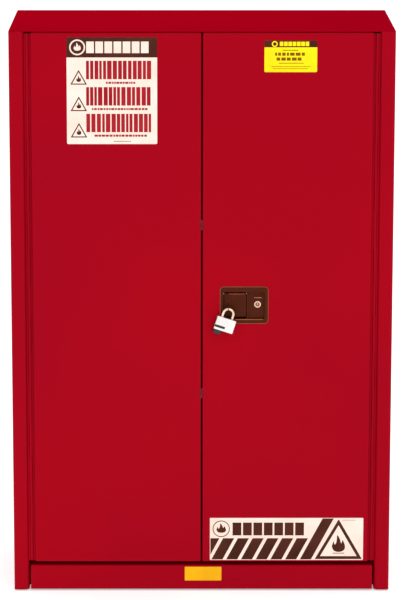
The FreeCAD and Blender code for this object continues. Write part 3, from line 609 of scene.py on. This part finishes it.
# Warm tint of the lock chrome: painted reflection of the brown handle.
lockChromeWarmReflection = makeMetal("lockChromeWarmReflection", rgb(240, 216, 196), rgb(206, 176, 150), 0.12, 0.22, 500.0)
padlockSteel = makeMetal("padlockSteel", rgb(232, 230, 228), rgb(200, 196, 194), 0.24, 0.36, 420.0, 0.0009)
gasketRubber = makeRubber("gasketRubber", rgb(28, 27, 27), rgb(46, 44, 44), 0.7, 0.85, 900)
blackPlastic = makeRubber("blackPlastic", rgb(18, 17, 18), rgb(34, 32, 33), 0.35, 0.5, 700)
capSteel, handleBlack, handleTrimAndHighlight = makeCapSteel(), makeHandleBlack(), makeHandleTrimAndHighlight()
creamFilm = makeVinyl("creamFilm", rgb(246, 224, 212), rgb(236, 210, 194))
yellowFilm = makeVinyl("yellowFilm", rgb(255, 228, 4), rgb(240, 208, 10))
amberFilm = makeVinyl("amberFilm", rgb(240, 184, 2), rgb(230, 164, 4))
brownInk = makeVinyl("brownInk", rgb(60, 22, 8), rgb(80, 36, 20), 0.34)
redInk = makeVinyl("redInk", rgb(150, 6, 26), rgb(168, 30, 42), 0.34)
oliveInk = makeVinyl("oliveInk", rgb(112, 76, 4), rgb(140, 100, 10), 0.34)
print("finishes made")


# Body sheets

def makeBodySheets():
    sheet = {"skin": 1.2, "frontBend": 5, "rollIn": 13, "lipSoft": 0.5, "lip": 2.4, "hem": 12,
             "hemGap": 0.05, "hole": 29.3, "studHole": 4.5, "reach": 10}
    sheets = []
    for name, side in (("left", -1), ("right", 1)):
        low, high = cadPlace(f"outer_{name}_side")
        outside = high.x if side > 0 else low.x
        post = low.x if side > 0 else high.x
        path = bendPath([(outside, high.y, 0), (outside, low.y, sheet["frontBend"]),
                         (post, low.y, sheet["rollIn"]), (post, cadPlace("hinge_posts")[0].y, 0)], steps=10)
        folded = foldedSheet(path, sheet["skin"], side, "z", (low.z, high.z))
        centre = middle(f"vent_cap_{name}")
        span = sorted((outside - side * sheet["reach"], outside + side * sheet["reach"]))
        tools = [prism(circle((centre.y, centre.z), sheet["hole"]), "x", span)]
        if side < 0:
            stud = middle("earth_stud")
            tools.append(prism(circle((stud.y, stud.z), sheet["studHole"]), "x", span))
        addPiece(f"{name}SideSheet", [(without(folded, *tools), redPaint)], "cabinet",
                 [f"outer_{name}_side"])
        sheets.append((low, high))
    low, high = cadPlace("top_panel")
    hemLow = Vector((sheets[0][1].x, low.y, low.z))
    hemHigh = Vector((sheets[1][0].x, low.y + sheet["hem"], low.z + sheet["lip"] / 2 + sheet["hemGap"]))
    cover = softBox(Vector((low.x, low.y, high.z - sheet["skin"])), high, sheet["lipSoft"])
    addPiece("topSheet", [(cover, dullTopPaint), (softBox(hemLow, hemHigh, sheet["lipSoft"]), redPaint)],
             "cabinet", ["top_panel"])


def trayMesh(low, high, bend, skin, openBelow=False):
    """A tray folded from sheet, open at the back, with round front edges."""
    corners = [(x, y, z) for x in (low[0], high[0]) for y in (low[1], high[1]) for z in (low[2], high[2])]
    faces = [(0, 1, 5, 4), (0, 2, 3, 1), (4, 5, 7, 6), (1, 3, 7, 5)]
    if not openBelow:
        faces.append((0, 4, 6, 2))
    tray = roundFolds(meshOf(corners, faces), bend, 6)
    return shaped(tray, ("SOLIDIFY", {"thickness": skin, "offset": -1, "use_even_offset": True}))


def makeBottomRail():
    rail = {"skin": 1.2, "bend": 3.5, "innerBend": 2, "boltHole": 6, "boltBack": 5, "reach": 6,
            "doorGap": 11.3}
    low, high = cadPlace("bottom_rail")
    frameY = cadPlace("hinge_posts")[0].y
    ledge = cadPlace("right_door_outer")[0].z - rail["doorGap"]
    face = trayMesh(low, Vector((high.x, frameY, ledge)), rail["bend"], rail["skin"], True)
    path = bendPath([(frameY - rail["skin"], ledge - rail["skin"], 0),
                     (frameY - rail["skin"], high.z, rail["innerBend"]), (high.y, high.z, 0)])
    between = cadPlace("header")
    ledgeSheet = foldedSheet(path, rail["skin"], -1, "x", (between[0].x, between[1].x))
    boltLow, boltHigh = cadPlace("lower_rod")
    centre = ((boltLow.x + boltHigh.x) / 2, boltHigh.y - rail["boltBack"])
    hole = prism(circle(centre, rail["boltHole"]), "z", (high.z - rail["reach"], high.z + rail["reach"]))
    addPiece("bottomRailSheet", [(face, redPaint), (without(ledgeSheet, hole), redPaint)], "cabinet",
             ["bottom_rail"])


# Doors

def makeDoors():
    door = {"skin": 1.2, "bend": 3.5, "boltHole": 6, "reach": 8, "cutSide": 6.5, "cutBelow": 9,
            "cutAbove": 11, "cutCorner": 4}
    bolt = middle("centre_bolt")
    padLow, padHigh = cadPlace("paddle_housing")
    for name in ("left", "right"):
        low, high = cadPlace(f"{name}_door_outer")
        seamX = high.x if name == "left" else low.x
        tray = trayMesh(low, high, door["bend"], door["skin"])
        tools = [prism(circle((bolt.y, bolt.z), door["boltHole"]), "x",
                       (seamX - door["reach"], seamX + door["reach"]))]
        if name == "right":
            cutLow = (padLow.x + door["cutSide"], padLow.z + door["cutBelow"])
            cutHigh = (padHigh.x - door["cutSide"], padHigh.z - door["cutAbove"])
            tools.append(prism(roundOutline(cutLow, cutHigh, door["cutCorner"]), "y",
                               (low.y - door["reach"], low.y + door["reach"])))
        addPiece(f"{name}DoorSkin", [(without(tray, *tools), redPaint)], f"{name}_door",
                 [f"{name}_door_outer"])


# Paddle handle, its housing and the key lock

def makeHousing():
    shape = {"corner": 11, "rimSoft": 1.2, "recessCorner": 6, "tubWall": 2, "padBack": 9, "dividerFront": 3,
             "keyPadFront": 6, "tubDepth": 24, "pocketDepth": 8, "pocketWide": (-11, 12),
             "pocketHigh": (20, 32), "recess": ((62, 817), (129, 897)), "keySideEnd": 181,
             "dividerWide": 4, "tubCorner": 4, "pocketCorner": 3, "keyHole": 10.1,
             "slot": ((84, 868), (92, 895)), "slotBack": 8, "bead": 2, "sillOut": 0.5}
    low, high = cadPlace("paddle_housing")
    key = middle("key_cylinder")
    wall = shape["tubWall"]
    (left, bottom), (divider, top) = shape["recess"]
    right = shape["keySideEnd"]
    rim = softened(prism(roundOutline((low.x, low.z), (high.x, high.z), shape["corner"]), "y",
                         (low.y, frontY)), shape["rimSoft"], 3)
    tubEnd = divider + shape["dividerWide"]
    tubLow = (left - wall, bottom - wall)
    pad = prism(roundOutline(tubLow, (right + wall, top + wall), shape["tubCorner"]), "y",
                (frontY - 1, frontY + shape["padBack"]))
    tub = prism(roundOutline(tubLow, (tubEnd, top + wall), shape["tubCorner"]), "y", (frontY, high.y))
    whole = combined(rim, "UNION", pad, tub)
    corner = shape["recessCorner"]
    before = low.y - wall
    pocketLow = (key.x + shape["pocketWide"][0], key.z + shape["pocketHigh"][0])
    pocketHigh = (key.x + shape["pocketWide"][1], key.z + shape["pocketHigh"][1])
    finger = cadPlace("paddle_handle")[1]

    def hollow(start, end, bend, depth):
        return prism(roundOutline(start, end, bend), "y", (before, frontY + shape[depth]))
    tools = [
        hollow((left, bottom), (divider, top), corner, "tubDepth"),
        hollow((divider - 2, bottom), (right, top), corner, "dividerFront"),
        hollow((tubEnd, bottom), (right, top), corner, "keyPadFront"),
        hollow(pocketLow, pocketHigh, shape["pocketCorner"], "pocketDepth"),
        prism(circle((key.x, key.z), shape["keyHole"]), "y", (before, high.y + wall)),
        prism(roundOutline(*shape["slot"], 1), "y", (finger.y - shape["slotBack"], high.y + wall)),
    ]
    housing = without(whole, *tools)
    # The bead round the rim, the sill under the recess and the lip under the key pocket take the lighter
    # trim: painted highlight lines.
    bead = shape["bead"]
    edge = ringPrism(roundOutline((low.x, low.z), (high.x, high.z), shape["corner"]),
                     roundOutline((low.x + bead, low.z + bead), (high.x - bead, high.z - bead),
                                  shape["corner"] - bead), "y", (low.y, low.y + bead))
    sill = softBox(Vector((left + corner, low.y - shape["sillOut"], bottom - bead)),
                   Vector((right - corner, low.y + 2 * bead, bottom)), 0.5)
    pocketLip = softBox(Vector((pocketLow[0], frontY + shape["dividerFront"], pocketLow[1] - bead)),
                        Vector((pocketHigh[0], frontY + shape["pocketDepth"], pocketLow[1] + bead / 2)), 0.6)
    addPiece("paddleHousingShell", [(softened(housing, 0.6), handleBlack), (softened(edge, 0.5), handleTrimAndHighlight),
                                    (sill, handleTrimAndHighlight), (pocketLip, handleTrimAndHighlight)], "right_door",
             ["paddle_housing"])


def makePaddle():
    paddle = {"thick": 3, "bow": 1.6, "curl": 8, "curlBend": 4, "front": 3, "topDrop": 2, "barrel": 5,
              "pinHole": 2.6, "barrelGap": (100, 116), "lugThick": 1.8, "lugRing": 11, "lugHole": 6.5,
              "lug": (76, 851.5), "finger": (85, 91), "fingerHalf": 3, "fingerStart": 3, "ridgeLeft": 14,
              "ridgeRight": 4, "ridgeHigh": (-0.6, 1), "ridgeOut": 1.2, "soft": 0.7}
    low, high = cadPlace("paddle_handle")
    pivot = middle("paddle_pin")
    faceY = frontY + paddle["front"]
    line = [(faceY + paddle["curl"], low.z, 0), (faceY, low.z, paddle["curlBend"])]
    rise = pivot.z - low.z
    line += [(faceY - paddle["bow"] * math.sin(math.pi * share), low.z + rise * share, 0)
             for share in (0.2, 0.35, 0.5, 0.65, 0.8)]
    line += [(faceY, pivot.z + 1, 2), (faceY + 3, high.z - paddle["topDrop"], 0)]
    plate = foldedSheet(bendPath(line), paddle["thick"], -1, "x", (low.x, high.x))
    barrels = [without(prism(circle((pivot.y, pivot.z), paddle["barrel"]), "x", span),
                       prism(circle((pivot.y, pivot.z), paddle["pinHole"]), "x", (low.x - 1, high.x + 1)))
               for span in ((low.x, paddle["barrelGap"][0]), (paddle["barrelGap"][1], high.x))]
    body = softened(plate, paddle["soft"])
    # The ridge along the paddle's top takes the lighter trim: painted highlight on its top edge.
    ridge = softBox(Vector((low.x + paddle["ridgeLeft"], faceY - paddle["ridgeOut"],
                            pivot.z + paddle["ridgeHigh"][0])),
                    Vector((high.x - paddle["ridgeRight"], faceY + 1, pivot.z + paddle["ridgeHigh"][1])), 0.5)
    lockLow, lockHigh = cadPlace("padlock_shackle")
    lockY = (lockLow.y + lockHigh.y) / 2
    lugX, lugZ = paddle["lug"]
    ring = paddle["lugRing"]
    outline = bendPath([(faceY + 1, lugZ - ring, 0), (lockY - ring, lugZ - ring, ring - 0.1),
                        (lockY - ring, lugZ + ring, ring - 0.1), (faceY + 1, lugZ + ring, 0)], True, 12)
    half = paddle["lugThick"] / 2
    lug = without(prism(outline, "x", (lugX - half, lugX + half)),
                  prism(circle((lockY, lugZ), paddle["lugHole"]), "x", (lugX - 9, lugX + 9)))
    fingerLeft, fingerRight = paddle["finger"]
    reach = paddle["fingerHalf"]
    finger = softBox(Vector((fingerLeft, pivot.y + paddle["fingerStart"], pivot.z - reach)),
                     Vector((fingerRight, high.y, pivot.z + reach)), 0.8)
    addPiece("paddleGrip", [(body, handleBlack), (ridge, handleTrimAndHighlight), (softened(lug, 0.5), handleBlack),
                            (finger, handleBlack), *[(barrel, handleBlack) for barrel in barrels]],
             "paddle", ["paddle_handle"])


def makeKeyLock():
    lock = {"bezel": 10, "plug": 5.4, "sunk": 1.8, "keyway": (1.8, 8), "neck": 5, "neckLong": 2.5, "deep": 5}
    low, high = cadPlace("key_cylinder")
    key = middle("key_cylinder")
    start = low.y
    plug, bezel, shoulder = lock["plug"], lock["bezel"], high.y - lock["neckLong"]
    profile = [(0, start + lock["sunk"]), (plug, start + lock["sunk"]), (plug + 0.9, start + 0.2),
               (plug + 1.5, start), (bezel - 1.2, start), (bezel - 0.4, start + 0.3), (bezel, start + 1.2),
               (bezel, shoulder), (lock["neck"], shoulder), (lock["neck"], high.y), (0, high.y)]
    barrel = turnedShape(profile, (key.x, 0, key.z), "y", 64)
    wide, tall = lock["keyway"]
    slotOutline = roundOutline((key.x - wide / 2, key.z - tall / 2),
                               (key.x + wide / 2, key.z + tall / 2), 0.6)
    slotMesh = prism(slotOutline, "y", (start - 1, start + lock["deep"]))
    face = without(prism(circle((key.x, key.z), plug - 0.1), "y", (start + 1, start + 2)), slotMesh)
    addPiece("keyLockBarrel", [(without(barrel, slotMesh), lockChromeWarmReflection), (softened(face, 0.2), handleTrimAndHighlight)],
             "key_lock", ["key_cylinder"])


# Padlock, drawn upright about the middle of its bow and then tilted

def makePadlock():
    lock = {"tilt": 18, "bow": 14.5, "wire": 4, "legTop": 11.5, "heel": 24, "toe": 9, "wide": 57,
            "high": 39.5, "thick": 22, "round": 3.2, "bandUp": 7, "bandHigh": 7, "bandLong": 31,
            "capWide": 25, "capHigh": 12, "socket": 4.1, "bowPlace": (76, 835.1), "bowSteps": 32}
    lockLow, lockHigh = cadPlace("padlock_shackle")
    centre = (lock["bowPlace"][0], (lockLow.y + lockHigh.y) / 2, lock["bowPlace"][1])
    hang = Matrix.Translation(centre) @ Matrix.Rotation(math.radians(lock["tilt"]), 4, "Y")
    radius, wire = lock["bow"], lock["wire"]
    turns = [math.pi * step / lock["bowSteps"] for step in range(lock["bowSteps"] + 1)]
    bow = [Vector((-radius * math.cos(turn), 0, radius * math.sin(turn))) for turn in turns]
    line = [Vector((-radius, 0, -lock["legTop"] - lock["heel"])), *bow,
            Vector((radius, 0, -lock["legTop"] - lock["toe"]))]
    shackle = softened(tube(line, wire, 24), 0.6)
    half, depth = lock["wide"] / 2, lock["thick"] / 2
    top = -lock["legTop"]
    base = top - lock["high"]
    caseOutline = roundOutline((-half, -depth), (half, depth), lock["round"], 5)
    case = softened(prism(caseOutline, "z", (base, top)), 1.3, 3)
    bandZ = (base + lock["bandUp"], base + lock["bandUp"] + lock["bandHigh"])
    tools = [prism(circle((x, 0), lock["socket"], 32), "z", (top - deep - 1, top + 2))
             for x, deep in ((-radius, lock["heel"]), (radius, lock["toe"]))]
    tools.append(prism([Vector(p) for p in ((-half - 1, bandZ[0]), (-half + lock["bandLong"], bandZ[0]),
                                            (-half + lock["bandLong"], bandZ[1]), (-half - 1, bandZ[1]))],
                       "y", (-depth - 1, -depth + 1)))
    case = without(case, *tools)
    band = softBox(Vector((-half + 1, -depth, bandZ[0])),
                   Vector((-half + lock["bandLong"], -depth + 1, bandZ[1])), 0.3)
    capMiddle = -half + lock["capWide"] / 2 + 1
    capHalf = lock["capWide"] / 2
    capOutline = roundOutline((capMiddle - capHalf, -depth + 1), (capMiddle + capHalf, depth - 1), 8, 8)
    cap = softened(prism(capOutline, "z", (base - lock["capHigh"], base)), 2.0, 3)
    for mesh in (shackle, case, band, cap):
        mesh.transform(hang)
    addPiece("padlockBow", [(shackle, lockChromeWarmReflection)], "shackle", ["padlock_shackle"])
    addPiece("padlockCase", [(case, padlockSteel)], "padlock", ["padlock_body"])
    addPiece("padlockTrim", [(band, blackPlastic), (cap, blackPlastic)], "padlock", ["padlock_bumper"])


# Labels: plain printed shapes on film, laid out from the label's upper left corner

inkThick = 0.06


def printer(node):
    """A function that prints flat outlines on a label, with v measured down from its top."""
    low, high = cadPlace(node)

    def place(points):
        return [Vector((low.x + u, high.z - v)) for u, v in points]

    def printed(points, hole=None):
        span = (low.y - inkThick, low.y)
        if hole:
            return ringPrism(place(points), place(hole), "y", span)
        return prism(place(points), "y", span)
    return printed


def bar(u, v, wide, high):
    return [(u, v), (u + wide, v), (u + wide, v + high), (u, v + high)]


def slanted(u, v, wide, high, lean):
    """A stripe that leans to the right; u is its lower left corner."""
    return [(u, v + high), (u + wide, v + high), (u + wide + lean, v), (u + lean, v)]


def flame(u, v, wide, high):
    """A simple three-tongued flame inside the box that starts at u, v."""
    shape = [(0.5, 1.0), (0.2, 0.93), (0.04, 0.7), (0.1, 0.5), (0.16, 0.36), (0.24, 0.56), (0.36, 0.4),
             (0.42, 0.0), (0.6, 0.24), (0.7, 0.5), (0.8, 0.3), (0.95, 0.6), (0.94, 0.82), (0.78, 0.95)]
    line = []
    for index in range(len(shape)):
        a, b, c, d = (Vector(shape[(index + step) % len(shape)]) for step in (-1, 0, 1, 2))
        for step in range(4):
            t = step / 4
            point = b + (c - a) * t / 2 + (2 * a - 5 * b + 4 * c - d) * t * t / 2
            point += (3 * b - a - 3 * c + d) * t ** 3 / 2
            line.append((u + wide * point.x, v + high * min(max(point.y, 0), 1)))
    return line


def triangle(u, v, wide, high, inset=0.0):
    """A triangle standing on its base, its sides moved in by inset."""
    lean = math.atan2(high, wide / 2)
    drop = inset / math.cos(lean)
    side = inset / math.tan(lean / 2)
    return [(u + side, v + high - inset), (u + wide - side, v + high - inset), (u + wide / 2, v + drop)]


def ringOf(u, v, radius):
    return [tuple(point) for point in circle((u, v), radius, 40)]


def ringMark(printed, u, v, outer, inner):
    return printed(ringOf(u, v, outer), ringOf(u, v, inner))


def raised(meshes):
    """Lift shapes that are printed over other ink."""
    for mesh in meshes:
        mesh.transform(Matrix.Translation((0, -inkThick, 0)))
    return meshes


def inked(meshes, ink):
    return [(mesh, ink) for mesh in meshes]


def hazardSign(printed, u, v, wide, high, line):
    """A triangle outline with a flame in it."""
    flameWide, flameHigh = wide * 0.3, high * 0.42
    return [printed(triangle(u, v, wide, high), triangle(u, v, wide, high, line)),
            printed(flame(u + (wide - flameWide) / 2, v + high * 0.4, flameWide, flameHigh))]


def strokes(printed, u, v, wide, high, seed, thin=7.0, thick=13.0, gap=3.0):
    """A row of upright strokes of uneven width that stands for large print."""
    draw = random.Random(seed)
    marks, at = [], u
    while at < u + wide - thin:
        width = min(draw.uniform(thin, thick), u + wide - at)
        marks.append(printed(bar(at, v, width, high)))
        at += width + gap * draw.uniform(0.8, 1.3)
    return marks


def smallPrint(printed, u, v, wide, high, seed):
    """A line of short dashes that stands for small print."""
    return strokes(printed, u, v, wide, high, seed, high * 0.6, high * 1.6, high * 0.3)


def blocks(printed, u, v, wide, high, count, gap=0.16):
    """A row of equal plain blocks where a name would stand."""
    pitch = wide / count
    return [printed(bar(u + step * pitch, v, pitch * (1 - gap), high)) for step in range(count)]


def filmOf(node, corner):
    low, high = cadPlace(node)
    return prism(roundOutline((low.x, low.z), (high.x, high.z), corner), "y", (low.y, high.y))


def makeLeftLabel():
    card = {"corner": 4, "wide": 256, "band": 57.5, "rowTop": (66.7, 142, 218.5), "rowHigh": 53,
            "text": (55, 192), "signTop": (92.6, 168.6, 244.4), "sign": (10.3, 47.3, 42.4), "signLine": 3.2,
            "small": ((111, 83), (71, 163), (78, 151)), "smallHigh": 6, "ring": (30.4, 28.6, 22.5, 18.5),
            "flame": (19.4, 16, 22, 22), "name": (56, 12, 180, 33, 7), "line": (132, 297, 50, 1.6)}
    printed = printer("left_label")
    brown = [printed(roundBand(card["wide"], card["band"], card["corner"]))]
    cream = raised([ringMark(printed, *card["ring"]), printed(flame(*card["flame"])),
                    *blocks(printed, *card["name"])])
    red = []
    for row, (top, signTop, small) in enumerate(zip(card["rowTop"], card["signTop"], card["small"])):
        u, wide, high = card["sign"]
        brown += hazardSign(printed, u, signTop, wide, high, card["signLine"])
        red += strokes(printed, card["text"][0], top, card["text"][1], card["rowHigh"], row + 3)
        red += smallPrint(printed, small[0], top + card["rowHigh"] + 7, small[1], card["smallHigh"], row + 13)
    brown.append(printed(bar(*card["line"])))
    addPiece("leftWarningLabel",
             [(filmOf("left_label", card["corner"]), creamFilm), *inked(brown, brownInk),
              *inked(cream, creamFilm), *inked(red, redInk)],
             "left_door", ["left_label"])


def roundBand(wide, high, corner):
    """A band across the top of a label that follows its round upper corners."""
    line = bendPath([(0, high, 0), (0, 0, corner), (wide, 0, corner), (wide, high, 0)], True)
    return [tuple(point) for point in line]


def makeRightLabel():
    card = {"corner": 4, "wide": 149, "band": 19, "ring": (29, 9.5, 8.4, 5), "name": (43, 3, 85, 12.5, 7),
            "lines": ((51, 26, 45, 3), (30, 34, 89, 9), (34, 48, 79, 9), (41, 63, 70, 2.5), (20, 73, 110, 2),
                      (24, 79, 100, 2))}
    printed = printer("right_label")
    yellow = raised([ringMark(printed, *card["ring"]), *blocks(printed, *card["name"])])
    olive = []
    for row, (u, v, wide, high) in enumerate(card["lines"]):
        olive += smallPrint(printed, u, v, wide, high, row + 31)
    addPiece("rightInfoLabel",
             [(filmOf("right_label", card["corner"]), yellowFilm),
              (printed(roundBand(card["wide"], card["band"], card["corner"])), brownInk),
              *inked(yellow, yellowFilm), *inked(olive, oliveInk)],
             "right_door", ["right_label"])


def makeLowerLabel():
    card = {"corner": 2, "ring": (33, 33, 25), "ringLine": 2.4, "flame": (18, 17, 30, 28),
            "name": (66, 14, 213, 39, 7), "stripeTop": 61.5, "stripeHigh": 64.5, "stripePitch": 43,
            "stripeWide": 32.5, "lean": 34, "start": 4.6, "stripes": 6, "cutEnd": (28, 112),
            "sign": (306, 4, 138, 121), "signLine": 9, "bandEdge": 1.5,
            "lines": ((358, 106, 34, 2), (386, 6, 38, 1.2))}
    printed = printer("lower_label")
    u, v, radius = card["ring"]
    ink = [ringMark(printed, u, v, radius, radius - card["ringLine"]), printed(flame(*card["flame"])),
           *blocks(printed, *card["name"])]
    for step in range(card["stripes"]):
        ink.append(printed(slanted(card["start"] + step * card["stripePitch"], card["stripeTop"],
                                   card["stripeWide"], card["stripeHigh"], card["lean"])))
    edge = card["bandEdge"]
    cutRight, cutLow = card["cutEnd"]
    ink.append(printed([(edge, card["stripeTop"]), (cutRight, card["stripeTop"]), (edge, cutLow)]))
    full = card["stripeTop"] + card["stripeHigh"] - edge
    last = card["start"] + card["stripes"] * card["stripePitch"]
    lean = card["lean"] * full / card["stripeHigh"]
    ink.append(printed(slanted(last, edge, card["stripeWide"], full, lean)))
    ink += hazardSign(printed, *card["sign"], card["signLine"])
    ink += [printed(bar(*line)) for line in card["lines"]]
    addPiece("lowerHazardLabel", [(filmOf("lower_label", card["corner"]), creamFilm), *inked(ink, brownInk)],
             "right_door", ["lower_label"])


def makeRailLabel():
    addPiece("railSticker", [(filmOf("rail_label", 2), amberFilm)], "cabinet", ["rail_label"])


# Finishes of the CAD nodes that are shown as they are

def paintCadNodes():
    finishes = {
        redPaint: ("red_paint", ["hinge_posts", "header", "outer_back", "inner_left_side", "inner_right_side",
                                 "inner_back", "ceiling_panel", "sump_pan", "left_door_inner",
                                 "right_door_inner", "left_door_stiffener", "right_door_stiffener",
                                 "vent_collars", "base_panel"]),
        hingePaint: ("red_paint", ["left_hinge_frame_leaf", "right_hinge_frame_leaf", "left_hinge_door_leaf",
                                   "right_hinge_door_leaf"]),
        zincSteel: ("zinc_steel", ["lower_shelf", "upper_shelf", "shelf_standards", "shelf_clips",
                                   "latch_strikes", "centre_strike", "rod_guides", "foot_brackets"]),
        brightSteel: ("bright_steel", ["paddle_pin", "paddle_spring", "hinge_pins", "latch_cam", "cam_stud",
                                       "upper_rod", "lower_rod", "centre_bolt", "lock_tongue",
                                       "foot_front_left", "foot_back_left", "foot_front_right",
                                       "foot_back_right"]),
        brass: ("earth_brass", ["earth_stud"]),
        meshScreen: ("screen_steel", ["flame_arresters"]),
        gasketRubber: ("gasket_rubber", ["vent_gaskets"]),
        capSteel: ("cap_steel", ["vent_cap_left", "vent_cap_right"]),
    }
    for material, (slot, names) in finishes.items():
        for name in names:
            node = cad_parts[name]
            node.data.materials.clear()
            node.data.materials.append(material)


# Room, lights and camera

def makeRoom():
    room = {"floor": 14.0, "floorColour": rgb(250, 249, 248), "sky": 0.98, "glow": 0.4}
    half = room["floor"]
    floorMesh = prism([Vector((x * half, y * half)) for x, y in ((-1, -1), (1, -1), (1, 1), (-1, 1))],
                      "z", (-0.02, 0))
    floor = putInScene(bpy.data.objects.new("floor", floorMesh))
    material, tree, shader = startFinish("floorPaint", Roughness=0.7, Specular_IOR_Level=0.2,
                                         Emission_Color=(1, 1, 1, 1), Emission_Strength=room["glow"])
    shade = stretchNode(tree, noiseNode(tree, objectPlace(tree), 0.8, 2), 0.3, 0.7)
    colour = mixColour(tree, shade, room["floorColour"], rgb(244, 243, 242))
    tree.links.new(colour, shader.inputs["Base Color"])
    floorMesh.materials.append(material)
    world = bpy.data.worlds.new("room")
    world.use_nodes = True
    world.node_tree.nodes["Background"].inputs["Color"].default_value = (1, 1, 1, 1)
    world.node_tree.nodes["Background"].inputs["Strength"].default_value = room["sky"]
    bpy.context.scene.world = world


def addLight(name, place, target, size, power):
    light = bpy.data.lights.new(name, "AREA")
    light.shape = "RECTANGLE"
    light.size, light.size_y = size
    light.energy = power
    lamp = putInScene(bpy.data.objects.new(name, light))
    lamp.location = place
    aim = Vector(target) - Vector(place)
    lamp.rotation_euler = aim.to_track_quat("-Z", "Y").to_euler()


def makeLights():
    addLight("keyLight", (2.6, -4.6, 3.6), (0, 0, 0.9), (2.4, 2.4), 45)
    addLight("fillLight", (-3.8, -3.6, 1.8), (0, 0, 0.8), (2.0, 3.0), 12)
    addLight("topLight", (0, 0.2, 4.2), (0, 0, 1.6), (3.0, 2.0), 16)


def makeCamera():
    lens = {"distance": 8.0, "aside": -0.05, "above": 1.1, "focal": 171.7, "shiftX": 0.031, "shiftY": -0.2,
            "pitch": 10.81}
    lens["height"] = cadBox[1].z + lens["above"]
    camera = putInScene(bpy.data.objects.new("camera", bpy.data.cameras.new("camera")))
    camera.location = (lens["aside"], frontY * mm - lens["distance"], lens["height"])
    camera.rotation_euler = (math.radians(90 - lens["pitch"]), 0, 0)
    camera.data.lens = lens["focal"]
    camera.data.shift_x = lens["shiftX"]
    camera.data.shift_y = lens["shiftY"]
    camera.data.clip_end = 100
    bpy.context.scene.camera = camera
    bpy.context.scene.view_settings.view_transform = "Standard"


makeBodySheets()
makeBottomRail()
print("body made")
makeDoors()
print("doors made")
makeHousing()
makePaddle()
makeKeyLock()
print("handle made")
makePadlock()
print("padlock made")
makeLeftLabel()
makeRightLabel()
makeLowerLabel()
makeRailLabel()
print("labels made")
paintCadNodes()
makeRoom()
makeLights()
makeCamera()
print("scene set")
